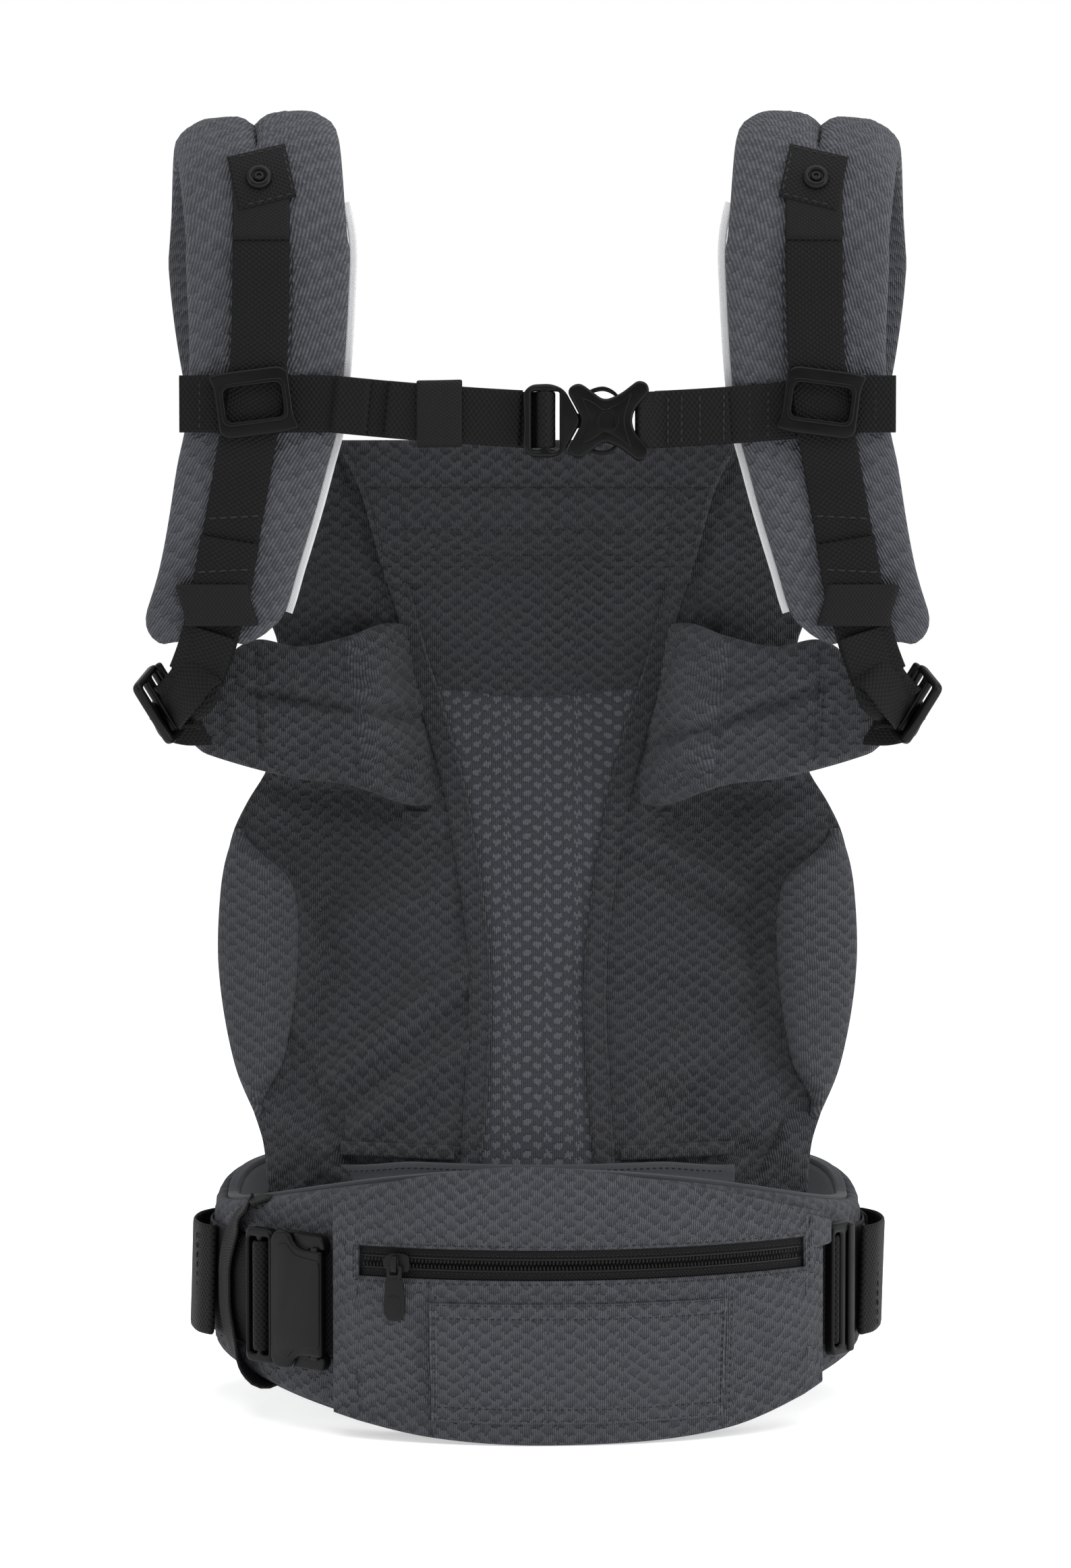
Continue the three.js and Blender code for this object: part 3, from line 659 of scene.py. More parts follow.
def build_stitches():
    for (body, material), rows in STITCHES.items():
        verts, faces = [], []
        for a, b, n, thick in rows:
            forward = (b - a).normalized()
            side = forward.cross(n).normalized()
            base = len(verts)
            length = (b - a).length
            for t, r in ((0, 0.25), (0.18, 0.85), (0.5, 1.0), (0.82, 0.85), (1, 0.25)):
                dip = -0.35 * thick * (2 * t - 1) ** 2
                centre = a + forward * length * t + n * dip
                for k in range(6):
                    angle = k * pi / 3
                    verts.append(centre + (side * cos(angle) + n * sin(angle)) * thick * 0.5 * r)
            faces += tube_faces(base, 5, 6) + tube_ends(base, 5, 6)
        obj = new_object(f"stitching_{body}_{material}", verts, faces, bpy.data.materials[material])
        tidy_normals(obj)
        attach(obj, body)


def rounded(points, radius, steps=4):
    """A polygon with its corners rounded; radius is one number or one per corner."""
    out = []
    count = len(points)
    for k in range(count):
        r = radius[k] if isinstance(radius, (list, tuple)) else radius
        p = Vector(points[k]).to_2d()
        a = Vector(points[k - 1]).to_2d() - p
        b = Vector(points[(k + 1) % count]).to_2d() - p
        cut = min(r, a.length * 0.49, b.length * 0.49)
        start, end = p + a.normalized() * cut, p + b.normalized() * cut
        for i in range(steps + 1):
            t = i / steps
            out.append(tuple(start * (1 - t) ** 2 + p * 2 * t * (1 - t) + end * t**2))
    return out


def box_loop(w, h, r, cx=0.0, cz=0.0):
    corners = [(-w / 2, -h / 2), (w / 2, -h / 2), (w / 2, h / 2), (-w / 2, h / 2)]
    return [(x + cx, z + cz) for x, z in rounded(corners, r)]


def plate(name, body, material, loops, thick, bevel, place):
    """A moulded plate: loops of (x, z), holes included, thick along Y, with rounded edges."""
    curve = bpy.data.curves.new(name, "CURVE")
    curve.dimensions = "2D"
    curve.fill_mode = "BOTH"
    curve.extrude = max(thick / 2 - bevel, 0.0001)
    curve.bevel_depth = bevel
    curve.bevel_resolution = 3
    curve.offset = -bevel
    for loop in loops:
        spline = curve.splines.new("POLY")
        spline.points.add(len(loop) - 1)
        for point, (x, z) in zip(spline.points, loop):
            point.co = (x, z, 0, 1)
        spline.use_cyclic_u = True
    holder = bpy.data.objects.new(name + "_line", curve)
    scene.collection.objects.link(holder)
    bpy.context.view_layer.update()
    mesh = bpy.data.meshes.new_from_object(holder.evaluated_get(bpy.context.evaluated_depsgraph_get()))
    bpy.data.objects.remove(holder)
    mesh.name = name
    # (x, z, depth) to (x, y, z): the plate's outline stands in XZ
    stand = Matrix(((1, 0, 0, 0), (0, 0, -1, 0), (0, 1, 0, 0), (0, 0, 0, 1)))
    mesh.transform(Matrix.Scale(MM, 4) @ place @ stand)
    mesh.materials.clear()
    mesh.materials.append(material)
    obj = bpy.data.objects.new(name, mesh)
    scene.collection.objects.link(obj)
    merge_points(mesh, 2e-6)
    mesh.polygons.foreach_set("use_smooth", [True] * len(mesh.polygons))
    tidy_normals(obj, sharp=38)
    if body:
        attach(obj, body)
    return obj


def join(name, body, objects):
    """One object from several, each keeping its own material."""
    tool = bmesh.new()
    slots = []
    for o in objects:
        offset = {}
        for k, m in enumerate(o.data.materials):
            if m not in slots:
                slots.append(m)
            offset[k] = slots.index(m)
        start = len(tool.faces)
        tool.from_mesh(o.data)
        tool.faces.ensure_lookup_table()
        for f in tool.faces[start:]:
            f.material_index = offset.get(f.material_index, 0)
    mesh = bpy.data.meshes.new(name)
    tool.to_mesh(mesh)
    tool.free()
    for m in slots:
        mesh.materials.append(m)
    obj = bpy.data.objects.new(name, mesh)
    scene.collection.objects.link(obj)
    for o in objects:
        bpy.data.objects.remove(o)
    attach(obj, body)
    return obj

# ------------------------------------------------------------------ camera, floor and light

CAMERA_AT, AIM_AT = Vector((-0.0009, -2.0, 0.4)), Vector((-0.0009, 0.0, 0.281))
camera_data = bpy.data.cameras.new("camera")
camera_data.sensor_fit = "VERTICAL"
camera_data.sensor_height = 36.0
camera_data.lens = 101.2
camera_data.clip_end = 20.0
camera = bpy.data.objects.new("camera", camera_data)
camera.location = CAMERA_AT
camera.rotation_euler = (AIM_AT - CAMERA_AT).to_track_quat("-Z", "Y").to_euler()
scene.collection.objects.link(camera)
scene.camera = camera

scene.view_settings.view_transform = "Standard"
scene.view_settings.look = "None"
world = bpy.data.worlds.new("studio")
world.use_nodes = True
world.node_tree.nodes["Background"].inputs["Color"].default_value = (1.0, 1.0, 1.0, 1.0)
scene.world = world


def area_light(name, at, aim, size, power, tall):
    data = bpy.data.lights.new(name, "AREA")
    data.shape = "RECTANGLE"
    data.size = size
    data.size_y = tall
    data.energy = power
    obj = bpy.data.objects.new(name, data)
    obj.location = at
    obj.rotation_euler = (Vector(aim) - Vector(at)).to_track_quat("-Z", "Y").to_euler()
    scene.collection.objects.link(obj)


area_light("overhead_softbox", (0.2, -0.6, 1.9), (0, 0, 0.3), 2.4, 32, 2.0)
area_light("right_softbox", (2.0, -0.9, 0.8), (0, 0, 0.3), 0.8, 20, 1.4)
area_light("left_softbox", (-2.0, -0.7, 0.8), (0, 0, 0.3), 0.8, 9, 1.4)

sky = world.node_tree
where = sky.nodes.new("ShaderNodeTexCoord")
split = sky.nodes.new("ShaderNodeSeparateXYZ")
sky.links.new(where.outputs["Generated"], split.inputs[0])
ramp = sky.nodes.new("ShaderNodeMapRange")
ramp.interpolation_type = "SMOOTHSTEP"
for key, value in (("From Min", -0.1), ("From Max", 0.5), ("To Min", 0.3), ("To Max", 1.0)):
    ramp.inputs[key].default_value = value
sky.links.new(split.outputs[1], ramp.inputs["Value"])
rays = sky.nodes.new("ShaderNodeLightPath")
seen = sky.nodes.new("ShaderNodeMath")
seen.operation = "MAXIMUM"
sky.links.new(rays.outputs["Is Camera Ray"], seen.inputs[0])
sky.links.new(ramp.outputs[0], seen.inputs[1])
sky.links.new(seen.outputs[0], sky.nodes["Background"].inputs["Strength"])

n = Nodes("pale_floor_paint")
floor_tone = n.noise(n.place(), 6.0, 3.0)
FLOOR = n.finish(n.blend(floor_tone, (0.93, 0.93, 0.93), (0.95, 0.95, 0.95)), floor_tone, 0.0001, 0.9,
                 specular=0.1)
n.shader.inputs["Emission Color"].default_value = (1.0, 1.0, 1.0, 1.0)
n.shader.inputs["Emission Strength"].default_value = 0.5
floor = new_object("floor",
                   [(-9000, -9000, -0.2), (9000, -9000, -0.2), (9000, 9000, -0.2), (-9000, 9000, -0.2)],
                   [[0, 1, 2, 3]], FLOOR)

ROOT = "carrier"
SIDES = (("left", -1), ("right", 1))


def handed(surface, side):
    return surface if side > 0 else mirror(surface)


# ------------------------------------------------------------------ waist belt

BELT_WIDE, BELT_DEEP, BELT_Y, BELT_END = 148, 105, 8, 142


def on_belt(deg, depth, z):
    a = radians(deg)
    nx, ny = sin(a) / BELT_WIDE, -cos(a) / BELT_DEEP
    size = hypot(nx, ny)
    return (BELT_WIDE * sin(a) - nx / size * depth, BELT_Y - BELT_DEEP * cos(a) - ny / size * depth, z)


def belt_bottom(deg):
    if abs(deg) < 90:
        return 24 * sin(radians(deg)) ** 2
    return 24 * cos((abs(deg) - 90) / (BELT_END - 90) * pi / 2) ** 2


def belt_top(deg):
    back_rise = 12.5 * (1 - exp(-max(0.0, abs(deg) - 90) / 14))
    return 92 + 24 * max(0.0, cos(radians(deg))) ** 2 + back_rise


def belt_surface(depth, inset=0.0):
    reach = BELT_END - inset * 0.4

    def point(u, v):
        deg = mix(-reach, reach, u)
        return on_belt(deg, depth, mix(belt_bottom(deg) + inset, belt_top(deg) - inset, v))
    return Surface(point)


def belt_relief(u, v):
    """The padding sinks a little at the sewn channels and creases under the webbing."""
    deg = mix(-BELT_END, BELT_END, u)
    channel = -1.0 * bell((v - 0.5) * 110, 60) * (1 if abs(deg) > 50 else 0.4)
    creases = 0.35 * sin(deg * 0.55 + 3 * v) * sin(pi * v)
    return creases + channel * 0.3 - 0.8 * bell(deg - 90, 3) - 0.8 * bell(deg + 90, 3)


belt_outer = belt_surface(4.6)
belt_pad = cloth("belt_pad", ROOT, MESH, belt_outer, (110, 16), 4.6, 3.6, 6.5, relief=belt_relief,
                 size=(620, 100), puff=(0.03, 2.0, 2.0))
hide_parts("waistbelt_cover", "waistbelt_foam")
belt_inner = belt_surface(10.6, 0.6)
belt_lining = cloth("belt_lining", ROOT, LINING, belt_inner, (100, 12), 2.3, 2.4, 3.0, size=(560, 100))
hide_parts("waistbelt_lining")
belt_edge = belt_surface(8.6, -0.4)
for name, v in (("lower", 0.0), ("upper", 1.0)):
    degs = [i / 120 for i in range(121)]
    ribbon(f"belt_binding_{name}", ROOT, BAND, [belt_edge.point(clamp(u), v) for u in degs],
           [belt_edge.normal(clamp(u), 0.5) for u in degs], 5.0, 2.6)
for v in (0.07, 0.93):
    stitch_on(ROOT, belt_outer, [(i / 40, v) for i in range(41)], 3.9, steps=300, length=2.6, gap=1.4)

# ------------------------------------------------------------------ pouch and zip

POUCH_X, POUCH_Y, POUCH_R, POUCH_FROM, POUCH_TO = -1.3, 92.7, 202, -26, 39.4
ZIP_Z, ZIP_FROM, ZIP_TO, SLOT_HALF, SLIDER_DEG = 79, -22, 35.6, 6.6, -17
pouch_top = curve_of((-26, 106.5), (-12.8, 117.5), (1, 121.5), (19.5, 112), (39.4, 94.8))
pouch_low = curve_of((-26, 10.5), (-12.8, 2.5), (3, 0), (24.4, 4), (39.4, 19))
SEAMS = (-12.8, 24.0)


def pouch_swell(z):
    return 3.5 * (1 - ((z - 58) / 64) ** 2)


def on_pouch(deg, lift, z):
    a = radians(deg)
    return (POUCH_X + (POUCH_R + lift) * sin(a), POUCH_Y - (POUCH_R + lift) * cos(a), z)


SLOT_LOW, SLOT_HIGH = 0.6, 0.72


def pouch_height(deg, v):
    """Rows run along the slot's two edges, so that it can be cut out of the cloth."""
    low, high = max(0.0, pouch_low(deg)), pouch_top(deg)
    if v < SLOT_LOW:
        return mix(low, ZIP_Z - SLOT_HALF, v / SLOT_LOW)
    if v > SLOT_HIGH:
        return mix(ZIP_Z + SLOT_HALF, high, (v - SLOT_HIGH) / (1 - SLOT_HIGH))
    return mix(ZIP_Z - SLOT_HALF, ZIP_Z + SLOT_HALF, (v - SLOT_LOW) / (SLOT_HIGH - SLOT_LOW))


def pouch_point(u, v):
    deg = mix(POUCH_FROM, POUCH_TO, u)
    z = pouch_height(deg, v)
    edge = min(1, min(u, 1 - u) / 0.055)
    return on_pouch(deg, max(0.0, pouch_swell(z)) * edge - 1.2, z)


def pouch_relief(u, v):
    deg = mix(POUCH_FROM, POUCH_TO, u)
    z = pouch_height(deg, v)
    x = POUCH_R * sin(radians(deg))
    seams = 0.0
    if z < ZIP_Z - SLOT_HALF:
        seams = sum(-1.1 * bell(deg - s, 0.22) + 0.5 * bell(deg - s - 0.5, 0.4) for s in SEAMS)
    slump = 0.9 * sin(x * 0.045 + 1.0) * sin(z * 0.06)
    slump += 0.5 * noise.noise(Vector((x * 0.03, z * 0.04, 1.7)))
    lower = fold(x, z, (-75, 14), (-20, 30), 7, -0.8) + fold(x, z, (90, 20), (120, 55), 8, -0.9)
    upper = fold(x, z, (-60, 112), (60, 101), 9, 0.9) + fold(x, z, (70, 104), (124, 86), 6, -0.8)
    rim = 0.5 * bell(z - ZIP_Z - SLOT_HALF - 3.2, 1.6) + 0.5 * bell(z - ZIP_Z + SLOT_HALF + 3.2, 1.6)
    return seams + slump + lower + upper + rim


def pouch_u(deg):
    return (deg - POUCH_FROM) / (POUCH_TO - POUCH_FROM)


def pouch_v(deg, z):
    low, high = max(0.0, pouch_low(deg)), pouch_top(deg)
    if z < ZIP_Z - SLOT_HALF:
        return SLOT_LOW * (z - low) / (ZIP_Z - SLOT_HALF - low)
    return mix(SLOT_HIGH, 1, (z - ZIP_Z - SLOT_HALF) / (high - ZIP_Z - SLOT_HALF))


def pouch_seams(u, v):
    """The cloth is held at its sewn seams, under the pocket and round the zip."""
    deg = mix(POUCH_FROM, POUCH_TO, u)
    z = pouch_height(deg, v)
    lines = max(bell(deg - s - 0.4, 1.0) for s in SEAMS) if z < ZIP_Z else 0.0
    pocket = ease(SEAMS[0] - 1, SEAMS[0], deg) * ease(-SEAMS[1] - 1, -SEAMS[1], -deg) * (z < 66)
    beside_zip = ease(ZIP_FROM - 2, ZIP_FROM - 1, deg) * ease(-ZIP_TO - 2, -ZIP_TO - 1, -deg)
    round_zip = bell(z - ZIP_Z, 9) * beside_zip
    return max(lines, pocket, round_zip)


pouch_mid = Surface(pouch_point)
slot = (pouch_u(ZIP_FROM), pouch_u(ZIP_TO), SLOT_LOW, SLOT_HIGH)
pouch = cloth("pouch_front_panel", ROOT, MESH, pouch_mid, (120, 60), 1.2, 1.6, 2.2, relief=pouch_relief,
              size=(228, 118), hole=slot, puff=(0.04, 2.0, 3.0), seams=pouch_seams)
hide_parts("pouch_front")


def pouch_face(deg, z, lift=0.0):
    """A point on the pouch's outer face and the way out of it."""
    u, v = pouch_u(deg), clamp(pouch_v(deg, z))
    n = pouch_mid.normal(u, v)
    return Vector(pouch_mid.point(u, v)) + n * (1.2 + pouch_relief(u, v) + lift), n


def pouch_row(pairs, steps, lift=0.0, **style):
    path = resample([(d, z, 0) for d, z in pairs], steps)
    spots = [pouch_face(p.x, p.y, lift) for p in path]
    stitch(ROOT, [s[0] for s in spots], [s[1] for s in spots], **style)


FINE = dict(length=2.0, gap=1.0, thick=0.62)
COARSE = dict(length=2.3, gap=0.8, thick=0.7)
STRONG = dict(length=3.0, gap=1.3, thick=0.75)
high, low = ZIP_Z + SLOT_HALF + 1.6, ZIP_Z - SLOT_HALF - 1.6
pouch_row([(ZIP_FROM - 0.5, high), (7, high), (ZIP_TO + 0.5, high)], 80, **FINE)
pouch_row([(ZIP_FROM - 0.5, low), (7, low), (ZIP_TO + 0.5, low)], 80, **FINE)
for deg in (ZIP_FROM - 0.55, ZIP_TO + 0.55):
    points = [on_pouch(deg, pouch_swell(z) + 0.4, z) for z in (low, ZIP_Z, high)]
    a = radians(deg)
    stitch(ROOT, points, [(sin(a), -cos(a), 0)] * 3, **FINE)
for s in SEAMS:
    pouch_row([(s + 0.75, 6.5), (s + 0.75, 38), (s + 0.75, ZIP_Z - SLOT_HALF - 4)], 60, lift=-0.1, **FINE)

# the pouch's back wall and its closed top edge
def pouch_back_point(u, v):
    deg = mix(POUCH_FROM + 0.5, POUCH_TO - 0.5, u)
    z = mix(max(0.0, pouch_low(deg)) + 1, pouch_top(deg) - 1, v)
    return on_pouch(deg, -3.6 - 3.6 * sin(pi * v) * sin(pi * u), z)


pouch_back = cloth("pouch_back_panel", ROOT, LINING, Surface(pouch_back_point), (50, 22), 0.8, 0.8, 1.0,
                   size=(225, 118))
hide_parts("pouch_back")
cut_from(Surface(pouch_back_point))

POCKET_LOW, POCKET_HIGH = 10, 62.5


def pocket_point(u, v):
    deg, z = mix(SEAMS[0] + 0.15, SEAMS[1] - 0.15, u), mix(POCKET_LOW, POCKET_HIGH, v)
    p, n = pouch_face(deg, z, 0.5 + 0.5 * v)
    return tuple(p)


pocket_mid = Surface(pocket_point)


def pocket_relief(u, v):
    return (0.35 * bell((v - 0.93) * 52, 2.6) + 0.3 * bell((v - 0.07) * 52, 2.2)
            - 0.35 * bell((v - 0.865) * 52, 0.7) - 0.3 * bell((v - 0.145) * 52, 0.7)
            + 0.3 * sin(9 * u + 2) * sin(pi * v))


pocket = cloth("pouch_pocket_panel", ROOT, MESH, pocket_mid, (70, 34), 0.75, 0.45, 1.0,
               relief=pocket_relief, size=(129, 52))
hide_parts("pouch_pocket")
cut_from(pocket_mid)
for v in (0.875, 0.985, 0.03, 0.125):
    stitch_on(ROOT, pocket_mid, [(i / 20, v) for i in range(21)], 0.75, steps=70, **FINE)
for u in (0.012, 0.988):
    stitch_on(ROOT, pocket_mid, [(u, i / 10) for i in range(11)], 0.8, steps=40, **FINE)

# zip: tapes, meshed coils and cords, slider and pull
ZIP_FACE = pouch_swell(ZIP_Z)
zip_degs = [mix(ZIP_FROM + 0.3, ZIP_TO - 0.3, i / 60) for i in range(61)]
for name, side in (("upper", 1), ("lower", -1)):
    tape = ribbon(f"zip_tape_{name}_weave", ROOT, TAPE,
                  [on_pouch(d, ZIP_FACE - 2.2, ZIP_Z + side * 4.4) for d in zip_degs], (0, 0, 1), 5.4,
                  0.9)
    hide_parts(f"zip_tape_{name}")
    verts, faces = [], []
    pitch = 0.46
    count = int((ZIP_TO - ZIP_FROM - 1.2) / pitch)
    for k in range(count):
        deg = ZIP_FROM + 0.6 + (k + (0.5 if side > 0 else 0)) * pitch
        a = radians(deg)
        out, along = Vector((sin(a), -cos(a), 0)), Vector((cos(a), sin(a), 0))
        base = len(verts)
        centre = Vector(on_pouch(deg, ZIP_FACE - 1.7, ZIP_Z + side * 1.15))
        for ring in range(5):
            t = ring / 4
            line = centre + Vector((0, 0, 1)) * side * mix(-1.1, 1.25, t)
            line += out * 0.55 * sin(pi * t) + along * 0.18 * t
            r = 0.54 * (0.7 + 0.3 * sin(pi * t))
            for q in range(6):
                w = q * pi / 3
                verts.append(line + along * cos(w) * r + out * sin(w) * r * 1.1)
        faces += tube_faces(base, 5, 6) + tube_ends(base, 5, 6)
    coil = new_object(f"zip_coil_{name}_teeth", verts, faces, ZIP_BLACK)
    tidy_normals(coil)
    cord = ribbon(f"zip_cord_{name}", None, ZIP_BLACK,
                  [on_pouch(d, ZIP_FACE - 1.5, ZIP_Z + side * 2.55) for d in zip_degs], (0, 0, 1), 0.8,
                  0.8)
    coil = join(f"zip_coil_{name}_run", ROOT, [coil, cord])
    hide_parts(f"zip_coil_{name}")
    seam = [on_pouch(d, ZIP_FACE - 1.75, ZIP_Z + side * 3.9) for d in zip_degs]
    stitch(ROOT, seam, [(sin(radians(d)), -cos(radians(d)), 0) for d in zip_degs], length=1.2, gap=0.8,
           thick=0.4)

a = radians(SLIDER_DEG)
SLIDER_AT = Vector(on_pouch(SLIDER_DEG, ZIP_FACE, ZIP_Z))
SLIDER_FRAME = Matrix.Translation(SLIDER_AT) @ Matrix.Rotation(a, 4, "Z")


def turned_plate(name, body, material, loops, thick, bevel, offset, base):
    return plate(name, body, material, loops, thick, bevel, base @ Matrix.Translation(Vector(offset)))


slider_loop = rounded([(-6, -1.8), (-3, -4.2), (3, -4.2), (6, -3.4), (6, 3.4), (3, 4.2), (-3, 4.2),
                       (-6, 1.8)], 1.6)
slider = turned_plate("zip_slider_plate", None, ZIP_BLACK, [slider_loop], 1.4, 0.4, (0, -0.2, 0),
                      SLIDER_FRAME)
side_on = SLIDER_FRAME @ Matrix.Rotation(pi / 2, 4, "Z")
arch_loop = rounded([(-5.1, -3.6), (-0.5, -3.6), (-0.5, 3.6), (-5.1, 3.6)], [1.7, 0.2, 0.2, 1.7])
arch_hole = rounded([(-4.0, -2.4), (-2.0, -2.4), (-2.0, 2.4), (-4.0, 2.4)], 0.6)
bridge = plate("zip_slider_bridge", None, ZIP_BLACK, [arch_loop, arch_hole], 2.6, 0.4, side_on)
zip_slider = join("zip_slider_body", "zip_runner", [slider, bridge])
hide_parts("zip_slider")
ring_loop, ring_hole = box_loop(6.8, 6.0, 1.4, 0, -3.6), box_loop(3.6, 2.9, 0.7, 0, -3.2)
ring = turned_plate("zip_pull_ring", None, ZIP_BLACK, [ring_loop, ring_hole], 1.2, 0.35, (0, -3.0, 0),
                    SLIDER_FRAME)
tab_loop = rounded([(-3.8, -5.8), (3.8, -5.8), (5.2, -20), (3.4, -24.9), (-3.4, -24.9), (-5.2, -20)], 2.6)
tab = turned_plate("zip_pull_tab", None, ZIP_BLACK, [tab_loop], 1.5, 0.5, (0, -3.0, 0), SLIDER_FRAME)
recess = turned_plate("zip_pull_panel", None, ZIP_BLACK, [box_loop(6.0, 8.5, 2.4, 0, -18.0)], 0.5, 0.2,
                      (0, -3.75, 0), SLIDER_FRAME)
zip_pull = join("zip_pull_body", "zip_tab", [ring, tab, recess])
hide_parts("zip_pull")

# ------------------------------------------------------------------ seat

seat_half = curve_of((94, 122), (119, 124), (134, 128.5), (150, 134.5), (169, 140), (191, 144),
                     (213, 145.3), (240, 143.6), (258, 140), (272, 133.4), (286, 125), (310, 117),
                     (345, 114))
seat_depth = curve_of((94, -74), (118, -66), (150, -42), (200, -12), (250, 2), (300, 8), (381, 8))
side_lift = curve_of((0, 0), (0.3, 4), (0.62, 13), (0.85, 5), (1, 9))
side_share = curve_of((94, 0), (150, 0.5), (200, 1), (280, 1), (345, 0.4))
edge_start = curve_of((94, 50), (118, 40), (150, 16), (200, 0))
strip_outer = curve_of((96, 34), (115, 34), (140, 33), (175, 31), (201, 31.5), (225, 34), (256, 39),
                       (277, 43), (298, 48.6), (330, 58), (352, 62.5), (381, 71.5))
strip_inner = curve_of((96, 25), (113, 25), (134, 23), (160, 21.5), (188, 20.6), (226, 24), (253, 28),
                       (275, 32), (296, 37), (317, 43), (337, 49.5), (369, 58), (381, 61))
thigh_seam = curve_of((130, 122), (165, 113), (200, 109), (235, 112), (262, 128))
SEAT_LOW, SEAT_HIGH, FOLD_Z = 96, 345, 381


def panel_y(x, z):
    share = min(1.0, abs(x) / seat_half(z))
    return seat_depth(z) + side_lift(share) * side_share(z) + edge_start(z) * share * share


def panel_surface(z0, z1, inner, outer, depth):
    def point(u, v):
        z = mix(z0, z1, v)
        x = mix(inner(z), outer(z), u)
        return (x, panel_y(x, z) + depth, z)
    return Surface(point)


# ridges and valleys as (start, end, width, height), the ends given as (|x|, z)
SEAT_FOLDS = {"right": (((38, 258), (106, 226), 6, 1.8), ((40, 246), (104, 212), 5, -1.5),
                        ((36, 205), (104, 188), 8, 1.0), ((38, 141), (88, 192), 7, 1.2),
                        ((50, 128), (100, 172), 6, -1.3), ((70, 112), (108, 150), 5, 1.4),
                        ((92, 104), (116, 138), 4, -1.6), ((44, 112), (96, 120), 5, -1.0),
                        ((60, 268), (118, 276), 6, -1.5)),
              "left": (((33, 198), (92, 150), 7, 1.5), ((32, 182), (84, 138), 5, -1.3),
                       ((30, 165), (84, 122), 6, 1.4), ((80, 116), (108, 162), 4, -2.0),
                       ((86, 108), (116, 140), 5, 1.5), ((44, 250), (104, 238), 8, -1.0),
                       ((48, 226), (100, 214), 8, 1.0), ((44, 108), (92, 116), 5, -1.0),
                       ((62, 268), (120, 278), 6, -1.5)), }
VALLEY = 9


def seat_relief(side_name, inner, outer, z0, z1):
    def relief(u, v):
        z = mix(z0, z1, v)
        x = mix(inner(z), outer(z), u)
        total = 2.4 * sum(fold(x, z, a, b, w, h) for a, b, w, h in SEAT_FOLDS[side_name])
        thigh = ease(126, 150, z) * (1 - ease(250, 268, z))
        total -= 3.2 * bell(x - thigh_seam(clamp(z, 130, 262)) + VALLEY, VALLEY) * thigh
        return total + 0.7 * noise.noise(Vector((x * 0.035, z * 0.035,
                                                 4.2 if side_name == "left" else 8.1)))
    return relief


def front_map(p):
    """Keeps the knit upright and unstretched across pieces cut from one cloth."""
    return (p.x * MM, p.z * MM)


for name, side in SIDES:
    outer = lambda z: seat_half(z) - 0.5
    inner = lambda z: strip_outer(z) - 3
    face = panel_surface(SEAT_LOW, SEAT_HIGH, inner, outer, 2.4)
    panel = cloth(f"seat_panel_cloth_{name}", ROOT, MESH_SHADED, handed(face, side), (44, 80), 1.9, 1.6,
                  3.0, relief=seat_relief(name, inner, outer, SEAT_LOW, SEAT_HIGH), size=(105, 250),
                  project=front_map, puff=(0.05, 1.5, 3.5))
    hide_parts(f"seat_panel_{name}")

    tape_face = panel_surface(SEAT_LOW, FOLD_Z + 1, strip_inner, strip_outer, 0.2)
    tape = cloth(f"seat_strip_cloth_{name}", ROOT, MESH_SHADED, handed(tape_face, side), (6, 90), 1.7,
                 1.8, 1.6, size=(10, 290), project=front_map)
    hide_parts(f"seat_strip_{name}")
    for u in (0.13, 0.87):
        stitch_on(ROOT, handed(tape_face, side), [(u, i / 30) for i in range(31)], 1.6, steps=200,
                  **COARSE)

    def thigh_point(u, v):
        z = mix(132, 260, v)
        taper = sqrt(ease(0, 0.2, v) * ease(0, 0.2, 1 - v))
        outer_x = seat_half(z) + mix(-2.5, 0.4, taper)
        x = mix(mix(outer_x - 3, thigh_seam(z), taper), outer_x, u)
        return (x, panel_y(x, z) - 2.2 * taper + 1.2 * (1 - sin(pi * u)) + 1.0 * (1 - taper), z)

    thigh_face = Surface(thigh_point)
    thigh = cloth(f"thigh_pad_cloth_{name}", ROOT, MESH_HALF_SHADED, handed(thigh_face, side), (18, 50), 3.6,
                  1.4, 7.0, relief=lambda u, v: 0.8 * sin(pi * u) + 0.4 * sin(14 * v + 2 * u),
                  size=(26, 130), project=front_map)
    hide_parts(f"thigh_pad_{name}")
    stitch_on(ROOT, handed(thigh_face, side), [(0.05, i / 16) for i in range(1, 16)], 1.4, steps=80, **FINE)
    band_face = panel_surface(262, 268, lambda z: strip_outer(z) - 1, lambda z: 62, 0.6)
    band = cloth(f"seat_side_band_{name}", ROOT, MESH_SHADED, handed(band_face, side), (10, 4), 1.0, 0.6, 1.2,
                 size=(20, 6), project=front_map)
    stitch_on(ROOT, handed(band_face, side), [(0.05, 0.2), (0.95, 0.2)], 0.9, **FINE)

# the centre: a quilted upper part and the airy mesh below its curved hem
QUILT_EDGE, QUILT_SAG = 325, 4.5


def centre_surface(low, high, depth):
    def point(u, v):
        z_low = low(0) if callable(low) else low
        z = mix(z_low, high, v)
        half = strip_inner(z) + 1.5
        x = mix(-half, half, u)
        if callable(low):
            z = mix(low(x / half), high, v)
        return (x, panel_y(x, z) + depth, z)
    return Surface(point)


def quilt_hem(share):
    return QUILT_EDGE - QUILT_SAG * (1 - share * share)


